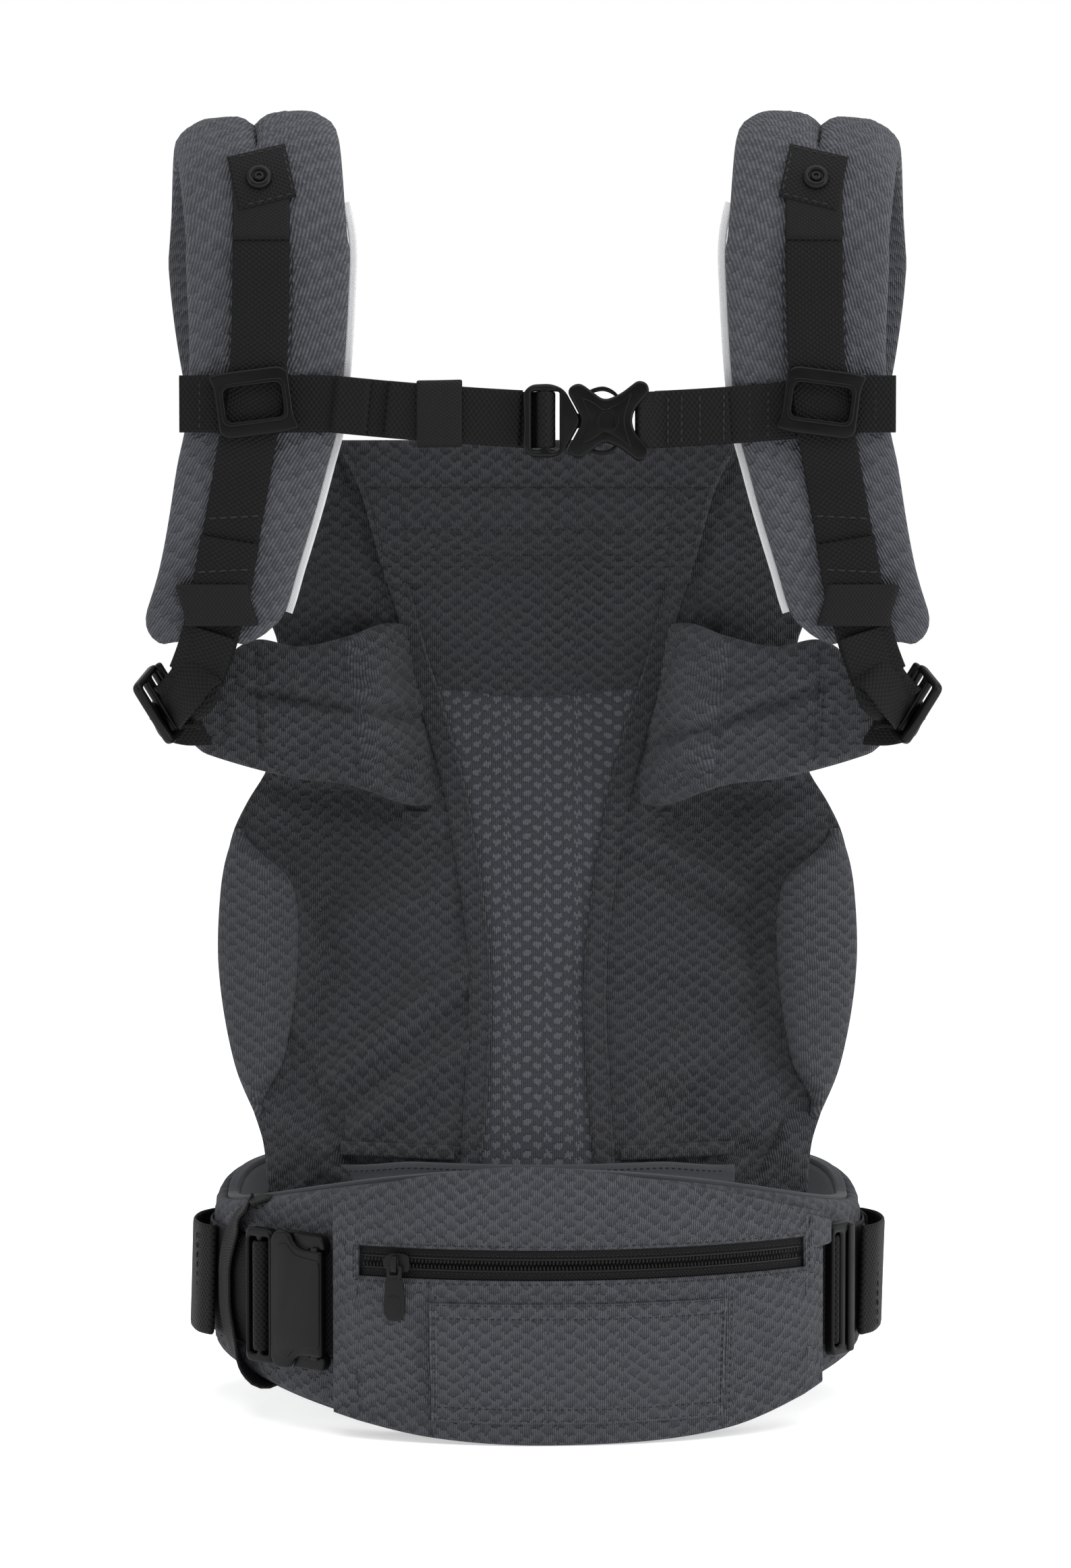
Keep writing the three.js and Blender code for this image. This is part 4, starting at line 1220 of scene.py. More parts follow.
vent_face = centre_surface(SEAT_LOW, 332, 2.0)
vent = cloth("seat_centre_vent", ROOT, VENT_MESH, vent_face, (16, 60), 0.7, 0.7, 1.2, size=(60, 236),
             project=front_map, relief=lambda u, v: 0.5 * sin(pi * u) * sin(9 * v + 1))
cut_from(vent_face)
quilt_face = centre_surface(quilt_hem, FOLD_Z + 2, 1.2)
quilt = cloth("seat_centre_quilt", ROOT, MESH_SHADED, quilt_face, (24, 20), 1.1, 1.0, 1.8, size=(110, 58),
              project=front_map, relief=lambda u, v: 0.5 * sin(pi * u) * sin(pi * v))
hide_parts("seat_mesh")
stitch_on(ROOT, quilt_face, [(0.04, 0.035), (0.5, 0.035), (0.96, 0.035)], 0.9, steps=60, **FINE)


def base_point(u, v):
    x = mix(-88, 88, u)
    z = mix(107, 117, v) - 3.5 * ease(52, 88, abs(x))
    return (x, panel_y(x, z) - 3.0 + 3.5 * ease(66, 88, abs(x)), z)


base_face = Surface(base_point)
base = cloth("seat_base_cloth", ROOT, BAND, base_face, (40, 8), 0.8, 0.8, 1.4, size=(176, 10),
             project=front_map, relief=lambda u, v: -0.3 * bell((v - 0.5) * 10, 1.5))
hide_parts("seat_base_band")
cut_from(base_face)
stitch_on(ROOT, base_face, [(0.02, 0.72), (0.5, 0.72), (0.98, 0.72)], 0.85, steps=80, **FINE)
for name, side in SIDES:
    flap_face = panel_surface(118, 124, lambda z: 37, lambda z: 88, -2.4)
    flap = cloth(f"seat_base_flap_{name}", ROOT, MESH_SHADED, handed(flap_face, side), (20, 4), 1.0, 1.0, 1.4,
                 size=(51, 5), project=front_map)
    stitch_on(ROOT, handed(flap_face, side), [(0.03, 0.3), (0.97, 0.3)], 0.9, **FINE)

# ------------------------------------------------------------------ head support

HEAD = "head"
HEAD_BLENDS = []
head_half = curve_of((381, 71.5), (394, 75), (415, 81), (437, 92))
HEM_Z, QUILT_Z, HEAD_LOW, HEAD_TOP = 415.5, 397, 380, 437


def head_point(u, v):
    z = mix(HEAD_LOW, HEAD_TOP, v)
    half = head_half(z)
    x = mix(-half, half, u)
    return (x, mix(9.8, 7.0 - 4 * (1 - (x / half) ** 2), ease(0, 0.4, v)), z)


def head_relief(u, v):
    z = mix(HEAD_LOW, HEAD_TOP, v)
    seams = -1.5 * bell(z - HEM_Z, 1.3) - 1.5 * bell(z - QUILT_Z, 1.3) - 1.0 * bell(z - FOLD_Z - 3, 1.5)
    band = -0.9 * (bell((u - 0.1) * 150, 1.4) + bell((u - 0.9) * 150, 1.4)) * (z < HEM_Z)
    waves = 0.5 * sin(u * 17 + v * 4) * sin(pi * v) + 0.5 * noise.noise(Vector((u * 6, v * 3, 2.4)))
    return seams + band + waves


def head_seams(u, v):
    z = mix(HEAD_LOW, HEAD_TOP, v)
    return max(bell(z - HEM_Z, 2.5), bell(z - QUILT_Z, 2.5), bell((u - 0.1) * 150, 3),
               bell((u - 0.9) * 150, 3))


def head_thick(u, v):
    return mix(1.6, 3.6, ease(0, 0.35, v))


head_face = Surface(head_point)
head = cloth("head_support_pad", HEAD, MESH_SHADED, head_face, (70, 34), head_thick, head_thick, 4.5,
             relief=head_relief, size=(165, 56), project=front_map, puff=(0.05, 3.0, 2.5),
             seams=head_seams)
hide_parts("head_support")


def fold_point(u, v):
    z = mix(FOLD_Z - 9, FOLD_Z + 12, v)
    half = head_half(max(z, HEAD_LOW)) - 1.5
    return (mix(-half, half, u), 11.0, z)


fold_cloth = cloth("head_fold_cloth", None, MESH_SHADED, Surface(fold_point), (40, 14), 1.1, 1.1, 1.6,
                   size=(140, 21), project=front_map)
HEAD_BLENDS.append(fold_cloth)


def head_uv(x, z):
    return ((x / head_half(z) + 1) / 2, (z - HEAD_LOW) / (HEAD_TOP - HEAD_LOW))


def head_row(pairs, steps=80, **style):
    stitch_on(HEAD, head_face, [head_uv(x, z) for x, z in pairs],
              lambda u, v: head_thick(u, v) + head_relief(u, v) + 0.1, steps=steps, **style)


head_row([(-79, HEM_Z), (0, HEM_Z), (79, HEM_Z)], **FINE)
head_row([(-61, QUILT_Z), (0, QUILT_Z), (61, QUILT_Z)], **FINE)
head_row([(-67, FOLD_Z + 4), (0, FOLD_Z + 4), (67, FOLD_Z + 4)], **FINE)
for side in (-1, 1):
    head_row([(side * 58, FOLD_Z + 4), (side * 60, 398), (side * 63, HEM_Z)], **FINE)
    head_row([(side * 70, FOLD_Z + 4), (side * 73, 398), (side * 78, HEM_Z)], **COARSE)
    head_row([(side * 78, HEM_Z), (side * 82, 425), (side * 88, 435)], **FINE)

# ------------------------------------------------------------------ shoulder panels and side wings

shoulder_outer = curve_of((346, 119), (370, 128), (400, 138), (440, 148))
SHOULDER_FOLDS = (((70, 352), (118, 372), 6, 1.4), ((76, 366), (128, 392), 5, -1.2),
                  ((96, 396), (136, 420), 6, 1.2))


def shoulder_inner(z):
    return (strip_outer(z) if z < FOLD_Z else head_half(min(z, HEAD_TOP))) - 2.0


for name, side in SIDES:
    def shoulder_xz(u, v):
        z = mix(339, 442, v)
        return mix(shoulder_inner(z), shoulder_outer(z), u), z

    def shoulder_point(u, v):
        x, z = shoulder_xz(u, v)
        return (x, mix(panel_y(x, z) + 3.2, mix(15, mix(20, 34, v), u), ease(0, 0.55, v)), z)

    def shoulder_relief(u, v):
        x, z = shoulder_xz(u, v)
        return sum(fold(x, z, a, b, w, h) for a, b, w, h in SHOULDER_FOLDS)

    shoulder = cloth(f"shoulder_panel_cloth_{name}", ROOT, MESH_SHADED,
                     handed(Surface(shoulder_point), side), (26, 34), 1.6, 2.0, 3.0,
                     relief=shoulder_relief, size=(62, 95), project=front_map, puff=(0.05, 2.0, 2.5))
    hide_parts(f"shoulder_panel_{name}")

wing_top = curve_of((45, 352), (63, 354), (79, 349), (103, 344), (126, 347), (143, 335), (155, 318))
wing_low = curve_of((45, 272), (63, 271), (79, 278), (91, 282), (113, 285), (149, 296), (155, 301))
WING_SEAM = 126
WING_FOLDS = {"left": (((60, 311), (128, 324), 2.6, -4.2), ((60, 318), (126, 331), 5, 3.4),
                       ((56, 298), (118, 318), 8, 2.2), ((84, 283), (122, 304), 6, 1.2),
                       ((62, 283), (96, 290), 5, -1.8), ((66, 348), (116, 339), 5, 1.0),
                       ((58, 290), (76, 274), 4, -1.6)),
              "right": (((60, 300), (126, 326), 3.0, -4.0), ((60, 309), (124, 334), 5, 3.2),
                        ((58, 285), (112, 312), 7, 2.0), ((86, 283), (124, 300), 6, 1.2),
                        ((60, 280), (92, 290), 5, -1.6), ((66, 348), (116, 339), 5, 1.0),
                        ((128, 330), (128, 296), 3, -1.0)), }


def wing_xz(u, v):
    reach = mix(46, 154, u)
    return reach + (1 - u) * (14 * (v - 0.25) - 3), mix(wing_low(reach), wing_top(reach), v)


def wing_point(u, v):
    """The inner end is sewn in under the seat's strip, and the wing swings forward from there."""
    reach = mix(46, 154, u)
    x, z = wing_xz(u, v)
    plane = mix(-10, -26, (reach - 45) / 110) - 0.5
    return (x, mix(panel_y(x, z) + 3.0, plane, ease(0, 0.34, u)), z)


for name, side in SIDES:
    def wing_relief(u, v, name=name):
        x, z = wing_xz(u, v)
        seam = -1.6 * bell(x - WING_SEAM - 0.04 * (z - 320), 1.3) * ease(290, 300, z)
        lump = 0.7 * noise.noise(Vector((x * 0.05, z * 0.05, 3.3 if name == "left" else 6.1)))
        return sum(fold(x, z, a, b, w, h) for a, b, w, h in WING_FOLDS[name]) + seam + lump
    wing_face = handed(Surface(wing_point), side)
    # Painted light: the left wing takes the darker shaded cloth and the right wing the half-shaded one, as
    # lit from the right.
    wing = cloth(f"side_wing_cloth_{name}", ROOT, MESH_SHADED if side < 0 else MESH_HALF_SHADED, wing_face,
                 (56, 40), lambda u, v: mix(1.0, 4.6, ease(0, 0.3, u)), lambda u,
                 v: mix(1.0, 3.6, ease(0, 0.3, u)), 5.5, relief=wing_relief, size=(108, 72),
                 project=front_map, puff=(0.06, 3.0, 3.5), seams=lambda u,
                 v: bell((u - (WING_SEAM - 46) / 108 - 0.02) * 108, 3))
    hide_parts(f"side_wing_{name}")
    seam_u = (WING_SEAM - 46) / 108
    stitch_on(ROOT, wing_face, [(seam_u + 0.02, 0.25), (seam_u + 0.02, 0.96)], 3.9, **FINE)

# ------------------------------------------------------------------ shoulder straps

STRAP_FRONT, STRAP_BACK, BEND_Z, PAD_HALF = -55, 59, 520, 6
STRAP_LOW, BEND_R, BACK_LEN, CORNER_R = 347, 57, 88, 15
FRONT_LEN, ARC_LEN = BEND_Z - STRAP_LOW, pi * BEND_R
STRAP_LEN = FRONT_LEN + ARC_LEN + BACK_LEN
front_x = curve_of((346, 148), (360, 142), (380, 136), (402, 130.5), (425, 125.5), (442, 121.5),
                   (470, 119), (500, 118.5), (527, 119), (556, 125))
strap_half = curve_of((346, 26), (352, 30), (380, 30.5), (425, 33), (470, 34), (527, 36), (586, 33))
END_CORNER_R = 8.0
END_SEAM = STRAP_LEN - 9


def strap_line(s):
    """Centreline of the right strap: x, y, z, half width, outward direction and crown, 1 at its top."""
    d = s * STRAP_LEN
    if d < FRONT_LEN:
        z = STRAP_LOW + d
        corner = CORNER_R * (1 - sqrt(1 - (1 - min(d / CORNER_R, 1.0)) ** 2))
        return front_x(z), STRAP_FRONT, z, strap_half(max(z, 352)) - corner * 0.9, -1, 0, 0.0
    if d < FRONT_LEN + ARC_LEN:
        a = (d - FRONT_LEN) / BEND_R
        x = mix(front_x(BEND_Z), 136, a / pi)
        y, z = STRAP_FRONT + BEND_R * (1 - cos(a)), BEND_Z + BEND_R * sin(a)
        return x, y, z, 35.5, -cos(a), sin(a), sin(a)
    f = (d - FRONT_LEN - ARC_LEN) / BACK_LEN
    corner = END_CORNER_R * (1 - sqrt(1 - (1 - min((STRAP_LEN - d) / END_CORNER_R, 1.0)) ** 2))
    return (mix(136, 126, f * f), STRAP_BACK - 12 * f * f, BEND_Z - BACK_LEN * f,
            mix(35.5, 30, f) - corner * 0.8, 1, 0, 0.0)


def strap_layer(lift):
    def point(u, v):
        x, y, z, half, ny, nz, crown = strap_line(v)
        across = (u - 0.5) * 2
        lobes = (-9 * abs(across) ** 5 - 5.5 * bell(across - 0.02, 0.13) * crown - 2.6 * across) * crown
        off = lift * (1 - 0.45 * across**4) + lobes
        return (x + across * half, y + ny * off, z + nz * off)
    return Surface(point)


def strap_relief(u, v):
    across = (u - 0.5) * 2
    d = v * STRAP_LEN
    back_seam = -1.6 * bell(d - FRONT_LEN - ARC_LEN, 2.0) - 1.5 * bell(d - END_SEAM, 2.2)
    bed = -0.9 * bell(across, 0.34) * ease(FRONT_LEN + 60, FRONT_LEN - 20, d)
    creases = 0.5 * sin(d * 0.21 + across * 1.5) * ease(FRONT_LEN - 30, FRONT_LEN + 30, d)
    return back_seam + bed + creases * 0.6 + 0.5 * noise.noise(Vector((across * 1.5, d * 0.02, 5.5)))


web_x = curve_of((318, 158), (330, 151.5), (350, 144), (370, 139.5), (400, 133.5), (425, 129),
                 (452, 124), (480, 121.5), (540, 121), (562, 123))
web_lift = curve_of((420, 0), (434, 2.8), (512, 2.8), (526, 0))
WEB_BEND = BEND_R + PAD_HALF + 0.4
WEB_WIDE, WEB_THICK = 25, 1.6


def bend_y(z):
    up = max(0.0, z - BEND_Z)
    return STRAP_FRONT + BEND_R - sqrt(WEB_BEND**2 - up**2)


def web_point(z, off):
    """The strap webbing's middle, off in front of the pad."""
    down = max(0.0, 352 - z)
    return (web_x(z), bend_y(z) - web_lift(z) - off + down * 0.25, z)


def mirrored_points(points, side):
    return [(side * x, y, z) for x, y, z in points]


PATCH_TILT, PATCH_HIGH, PATCH_AT = radians(14), 25, (121, 551)


def patch_point(u, v):
    a, h = (u - 0.5) * 26, (v - 0.5) * PATCH_HIGH
    z = PATCH_AT[1] - a * sin(PATCH_TILT) + h * cos(PATCH_TILT)
    return (PATCH_AT[0] + a * cos(PATCH_TILT) + h * sin(PATCH_TILT), bend_y(z) - 2.2, z)


for name, side in SIDES:
    pad_face = handed(strap_layer(2.2), side)
    pad = cloth(f"shoulder_strap_pad_{name}", ROOT, STRAP_MESH, pad_face, (26, 120), 3.9, 3.4, 7.0,
                relief=strap_relief, size=(70, STRAP_LEN), puff=(0.04, 2.0, 2.0),
                seams=lambda u, v: bell((u - 0.5) * 70, 16) * (v < 0.6))
    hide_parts(f"shoulder_strap_cover_{name}", f"shoulder_strap_foam_{name}")
    for row_d, row_lift in ((END_SEAM, 2.6), (END_SEAM - 6, 4.0)):
        stitch_on(ROOT, pad_face, [(0.03, row_d / STRAP_LEN), (0.97, row_d / STRAP_LEN)],
                  lambda u, v, row_lift=row_lift: row_lift * (1 - 0.25 * abs(2 * u - 1) ** 6), **FINE)
    under = handed(strap_layer(-3.6), side)
    back = cloth(f"shoulder_strap_lining_cloth_{name}", ROOT, MESH, under, (20, 90), 2.2, 2.4, 4.0,
                 size=(70, STRAP_LEN))
    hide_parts(f"shoulder_strap_lining_{name}")
    piping_path = [(front_x(z) - strap_half(z) - 1.4, STRAP_FRONT + 3.6, z) for z in range(360, 541, 6)]
    piping = ribbon(f"strap_piping_fold_{name}", ROOT, PIPING, mirrored_points(piping_path, side),
                    (1, 0, 0), 3.6, 1.8)
    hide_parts(f"strap_piping_{name}")

    run = [web_point(z, 0.8) for z in range(332, 529, 4)]
    webbing = ribbon(f"strap_webbing_run_{name}", ROOT, WEB, mirrored_points(run, side), (1, 0, 0),
                     WEB_WIDE, WEB_THICK)
    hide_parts(f"strap_webbing_{name}")
    top = [web_point(z, 1.6) for z in range(523, 562, 3)]
    ribbon(f"strap_webbing_top_{name}", ROOT, ELASTIC, mirrored_points(top, side), (1, 0, 0), WEB_WIDE, 1.5)
    patch_face = handed(Surface(patch_point), side)
    patch = cloth(f"snap_patch_{name}", ROOT, WEB, patch_face, (10, 10), 0.8, 0.8, 1.0,
                  size=(26, PATCH_HIGH))
    cut_from(patch_face)
    for row in ([(0.04, 0.93), (0.96, 0.93)], [(0.04, 0.06), (0.96, 0.06)], [(0.05, 0.1), (0.05, 0.9)]):
        stitch_on(ROOT, patch_face, row, 0.85, **STRONG)
    for edge in (-1, 1):
        line = [web_point(z, 0.2) for z in range(470, 524, 6)]
        line = [(x + edge * (WEB_WIDE / 2 + 1.2), y + web_lift(z) + 0.4, z) for x, y, z in line]
        stitch(ROOT, mirrored_points(line, side), [(0, -1, 0)] * len(line), length=3.0, gap=2.2, thick=0.5)
    for z, off in ((402, 1.75), (378.5, 3.9)):
        x, y, _ = web_point(z, off)
        ends = [(x - 11.5, y, z + 0.6), (x + 11.5, y, z - 0.6)]
        stitch(ROOT, mirrored_points(ends, side), [(0, -1, 0)] * 2, length=3.4, gap=1.3, thick=0.8)

    tail_path = [web_point(z, 2.7) for z in range(362, 393, 3)]
    tail_path = [(x - 0.5 + (z - 376) * 0.03, y, z) for x, y, z in tail_path]
    ribbon(f"strap_webbing_tail_{name}", ROOT, WEB, mirrored_points(tail_path, side),
           (1, 0, 0.05 * side), 26, 1.9)
    x, y, z = web_point(363.5, 2.4)
    keeper = [(x - 14.2, y + 3.6, z), (x - 14.6, y + 1, z), (x - 13.6, y - 1.9, z), (x, y - 2.4, z),
              (x + 13.6, y - 1.9, z), (x + 14.6, y + 1, z), (x + 14.2, y + 3.6, z)]
    ribbon(f"strap_elastic_keeper_{name}", ROOT, ELASTIC, mirrored_points(keeper, side),
           (0.32 * side, 0, 1), 18.5, 1.3, count=40)
    low = [web_point(352, 2.6), web_point(343, 2.9), web_point(334, 2.5), (152, -56.5, 326),
           (157.5, -51.5, 321), (161.5, -46.5, 319)]
    ribbon(f"strap_webbing_lower_{name}", ROOT, WEB, mirrored_points(low, side),
           (1, 0.2 * side, 0.42 * side), 24, 1.7, count=40)
    loop = [(146, -59.5, 337), (150, -61.5, 334), (157, -57.5, 325), (163, -49.5, 318.5), (163.5, -44, 317),
            (158, -40, 317.5), (152, -36, 316)]
    ribbon(f"strap_webbing_loop_{name}", ROOT, WEB, mirrored_points(loop, side),
           (0.55 * side, 0.35, 0.75), 22, 1.7, count=40)
    inlet = [(170.5, -45, 320), (166, -38.5, 314), (158, -33, 312.5), (148, -27.5, 313)]
    tab = ribbon(f"wing_webbing_tab_{name}", None, WEB, mirrored_points(inlet, side),
                 (0.2 * side, 0.15, 0.95), [20, 22, 25, 26], 1.7, count=40)
    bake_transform(tab)

    flip = Matrix.Diagonal((side, 1, 1, 1))
    turn = Matrix.Rotation(0.36, 4, "Y") @ Matrix.Rotation(-1.05, 4, "Z") @ Matrix.Rotation(-1.25, 4, "Y")
    adjuster_place = flip @ Matrix.Translation((167, -44, 319)) @ turn
    holes = [box_loop(26, 4.6, 1.2, 0, 4.8), box_loop(26, 4.6, 1.2, 0, -4.8)]
    frame_part = plate(f"adjuster_frame_{name}", None, BLACK, [box_loop(32, 22, 4)] + holes, 4.2, 1.4,
                       adjuster_place)
    lip = plate(f"adjuster_lip_{name}", None, BLACK, [box_loop(31, 3.8, 1.6, 0, 9.2)], 3.2, 1.2,
                adjuster_place @ Matrix.Translation((0, -2.8, 0)))
    adjuster = join(f"strap_adjuster_body_{name}", f"adjuster_{name}", [frame_part, lip])
    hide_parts(f"strap_adjuster_{name}")

# ------------------------------------------------------------------ chest strap

CHEST_WEB_Y, SLIDER_Z, BUCKLE_Z, BUCKLE_Y = -62.8, 452, 444, -66.6
DISH_X = 30.4
CHEST = "chest_strap"


def chest_z(x):
    return 444 + 7.5 * min(1.0, (abs(x - 25) / 115) ** 1.6)


def chest_run(x0, x1, y, steps, wave=0.0):
    xs = [mix(x0, x1, i / steps) for i in range(steps + 1)]
    return [(x, y + wave * sin(x * 0.11 + 1.0), chest_z(x)) for x in xs]


def slab(name, body, loops, y0, y1, bevel, base):
    """A plate given by its front y0 and its back y1."""
    return plate(name, body, BLACK, loops, y1 - y0, bevel, base @ Matrix.Translation((0, (y0 + y1) / 2, 0)))


def moulded(name, body, base, *parts):
    """One piece from several slabs, each given as its loops, y0, y1 and bevel."""
    return join(name, body, [slab(name + "_part", None, *part, base) for part in parts])


left_run = ribbon("chest_webbing_run_left", None, WEB, chest_run(-157, -7, CHEST_WEB_Y, 60, 0.35),
                  (0, 0, 1), WEB_WIDE, WEB_THICK)
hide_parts("chest_webbing_left")
right_run = ribbon("chest_webbing_run_right", CHEST, WEB, chest_run(52, 157, CHEST_WEB_Y, 50, 0.3),
                   (0, 0, 1), WEB_WIDE, WEB_THICK)
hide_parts("chest_webbing_right")
loop = chest_run(52, 45.8, CHEST_WEB_Y - 0.5, 3) + [(43.2, -66.4, 444.3), (44.6, -69.2, 444.3)]
loop += [(47.5, -67.6, 444.3), (51, -65.6, 444.3)] + chest_run(55, 84, CHEST_WEB_Y - 1.75, 8)
ribbon("chest_webbing_turn_right", CHEST, WEB, loop, (0, 0, 1), 24.6, 1.3, count=60)
for x, y in ((57, 2.6), (63, 2.6), (71, 2.6), (81.5, 2.6), (93, 0.9), (101, 0.9), (-75, 0.9),
             (-80, 0.9), (-86, 0.9), (-148, 0.9), (148, 0.9)):
    z = chest_z(x)
    ends = [(x, CHEST_WEB_Y - y, z - 11.2), (x, CHEST_WEB_Y - y, z + 11.2)]
    stitch(CHEST, ends, [(0, -1, 0)] * 2, length=2.2, gap=1.3, thick=0.7)
fold_line = chest_run(-89.5, -74, CHEST_WEB_Y - 1.5, 6)
ribbon("chest_webbing_joint", CHEST, WEB, fold_line, (0, 0, 1), 24.8, 1.5)

tail = chest_run(-66, -7, CHEST_WEB_Y - 2.1, 30, 0.2)
tail_piece = ribbon("chest_webbing_tail_run", "chest_plug", WEB, tail, (0, 0, 1), WEB_WIDE, WEB_THICK)
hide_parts("chest_webbing_tail")
turn_path = [(-9, -64.9, 444.6), (-4, -64.6, 444.5), (-0.9, -66.4, 444.5), (0.8, -70.0, 444.5),
             (3.3, -71.5, 444.5), (5.8, -70.0, 444.5), (7.2, -66.4, 444.5), (5.5, -63.2, 444.5),
             (0, -62.2, 444.5), (-8, -62.4, 444.5)]
ribbon("chest_webbing_turn_left", "chest_plug", WEB, turn_path, (0, 0, 1), 24.4, 1.3, count=60)

KEEP_X, KEEP_HALF = -43, 14.3
kz = chest_z(KEEP_X)
keeper_ring = []
for y, z in ((-61.3, -10), (-61.3, 10), (-61.6, 13.4), (-63.4, KEEP_HALF), (-66.0, 13.6), (-66.9, 10),
             (-66.9, -10), (-66.0, -13.6), (-63.4, -KEEP_HALF), (-61.6, -13.4)):
    keeper_ring.append((KEEP_X, y, kz + z))
keeper_ring = rounded([(p[1], p[2]) for p in keeper_ring], 1.5, 3)
keeper_ring = [(KEEP_X, y, z) for y, z in keeper_ring]
keeper = ribbon("chest_elastic_keeper", "chest_elastic", ELASTIC, keeper_ring + keeper_ring[:1],
                (1, 0, 0.02), 20, 1.2, closed=True)
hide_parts("chest_keeper")

for name, side in SIDES:
    base = Matrix.Translation((side * 124, -66.6 - 1.5, SLIDER_Z)) @ Matrix.Rotation(0.13 * side, 4, "Y")
    outline = rounded([(-18.6, -13.6), (-13, -14.6), (13, -14.6), (16.6, -12), (16.6, 8), (18.6, 13.6),
                       (13, 14.6), (-13, 14.6), (-16.6, 12), (-16.6, -8)],
                      [2, 3, 3, 3.5, 3, 2, 3, 3, 3.5, 3])
    outline = [(x * side, z) for x, z in outline]
    slider_piece = moulded(f"chest_slider_frame_{name}", CHEST, base,
                           ([outline, box_loop(25.4, 15, 3.4)], -1.7, 1.7, 1.1),
                           ([box_loop(29.5, 19, 4.4), box_loop(25.6, 15.2, 3.4)], -2.3, -0.9, 0.6))
    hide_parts(f"chest_slider_{name}")


def both_halves(half, radius):
    """An outline given by its upper half, in order, mirrored below and raised to the buckle's middle."""
    lower = [(x, -z) for x, z in reversed(half) if z != 0]
    return [(x, z + BUCKLE_Z) for x, z in rounded(half + lower, radius)]


def buckle_circle(radius):
    turns = [t * pi / 16 for t in range(32)]
    return [(radius * cos(a) + DISH_X, radius * sin(a) + BUCKLE_Z) for a in turns]


at_buckle = Matrix.Translation((0, BUCKLE_Y, 0))
cross = both_halves([(19.8, 0), (12.5, 13.6), (18, 17), (23.5, 13), (29, 8.8), (36, 11.6), (44, 17.8),
                     (48, 16.4), (49, 12.4), (42.4, 5), (41, 0)], 3.2)
wall = both_halves([(37.5, 0), (37.5, 10.8), (44, 15.6), (47, 14.4), (41.6, 5), (40.6, 0)], 1.2)
inner_cross = both_halves([(23.4, 0), (18.5, 10.5), (24, 8.5), (29, 4.6), (35, 7.5), (41.5, 12.8),
                           (38.6, 4), (37.8, 0)], 2.0)
dish, ring_hole = buckle_circle(5.2), buckle_circle(3.6)
socket = moulded("chest_buckle_socket_body", CHEST, at_buckle,
    ([cross], -5.0, -2.0, 1.3),
    ([inner_cross], -5.5, -4.2, 0.6),
    ([dish, ring_hole], -5.9, -5.0, 0.35),
    ([cross], 2.0, 4.2, 0.9),
    ([wall], -4.0, 3.6, 0.6),
    ([box_loop(2.8, 30, 1.0, 44, BUCKLE_Z)], -1.4, 1.4, 0.6))
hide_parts("chest_buckle_socket")
nose = both_halves([(19.2, 0), (11.7, 13.8), (6, 16.2), (-3, 15.8), (-6.6, 12), (-6.0, 0)], 3.0)
slots = [box_loop(4.2, 25.6, 1.2, -0.5, BUCKLE_Z), box_loop(4.6, 25.6, 1.2, 7.3, BUCKLE_Z)]
plug = moulded("chest_buckle_plug_body", "chest_plug", at_buckle,
    ([nose] + slots, -4.2, 3.4, 1.5),
    ([box_loop(18, 6.4, 1.5, 24, BUCKLE_Z)], -1.7, 1.7, 0.6))
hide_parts("chest_buckle_plug")
prong_line = curve_of((15.5, 6.4), (21, 11.5), (28, 14), (33, 12.4), (36.4, 9))
for name, up in (("upper", 1), ("lower", -1)):
    xs = [mix(18.6, 36.4, i / 14) for i in range(15)]
    outline = [(x, BUCKLE_Z + up * (prong_line(x) + 1)) for x in xs]
    outline += [(x, BUCKLE_Z + up * (prong_line(x) - 1)) for x in xs[::-1]]
    prong = slab(f"chest_prong_spring_{name}", f"chest_prong_{'top' if up > 0 else 'bottom'}",
                 [outline], -1.7, 1.7, 0.5, at_buckle)
    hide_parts(f"chest_prong_{name}")
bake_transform(left_run)

# ------------------------------------------------------------------ snap sockets on the straps

SNAP_TILT, SNAP_REACH = 0.48, 66.0
SNAP_PROFILE = ((5.8, 0), (5.8, 1.0), (5.3, 1.8), (4.6, 2.3), (3.9, 2.4), (3.4, 2.1), (3.1, 1.2),
                (2.5, 1.0), (2.2, 1.9), (1.6, 2.2), (1.1, 2.0), (0.9, 1.1), (0.0, 1.0))


def lathe(name, body, material, profile, place):
    steps, verts = 48, []
    for r, h in profile[:-1]:
        for k in range(steps):
            a = 2 * pi * k / steps
            verts.append(place @ Vector((r * cos(a), r * sin(a), h)))
    verts.append(place @ Vector((0, 0, profile[-1][1])))
    rings = len(profile) - 1
    faces = tube_faces(0, rings, steps)
    top = (rings - 1) * steps
    faces += [[top + k, top + (k + 1) % steps, rings * steps] for k in range(steps)]
    faces.append([k for k in range(steps)][::-1])
    obj = new_object(name, verts, faces, material)
    tidy_normals(obj, sharp=50)
    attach(obj, body)
    return obj


for name, side in SIDES:
    out = Vector((0, -cos(SNAP_TILT), sin(SNAP_TILT)))
    at = Vector((side * 122, STRAP_FRONT + BEND_R, BEND_Z)) + out * SNAP_REACH
    place = Matrix.Translation(at) @ out.to_track_quat("Z", "Y").to_matrix().to_4x4()
    snap = lathe(f"snap_socket_turned_{name}", ROOT, SNAP, SNAP_PROFILE, place)
    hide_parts(f"snap_socket_{name}")

# ------------------------------------------------------------------ waist webbing, buckle and adjuster

WAIST_Z, WIDE_WEB = 57.7, 50
BUCKLE_DEG = -49


def belt_frame(deg, depth):
    """Stands on the belt at deg, with X along it."""
    turn = atan2(BELT_DEEP * sin(radians(deg)), BELT_WIDE * cos(radians(deg)))
    return Matrix.Translation(Vector(on_belt(deg, depth, WAIST_Z))) @ Matrix.Rotation(turn, 4, "Z")


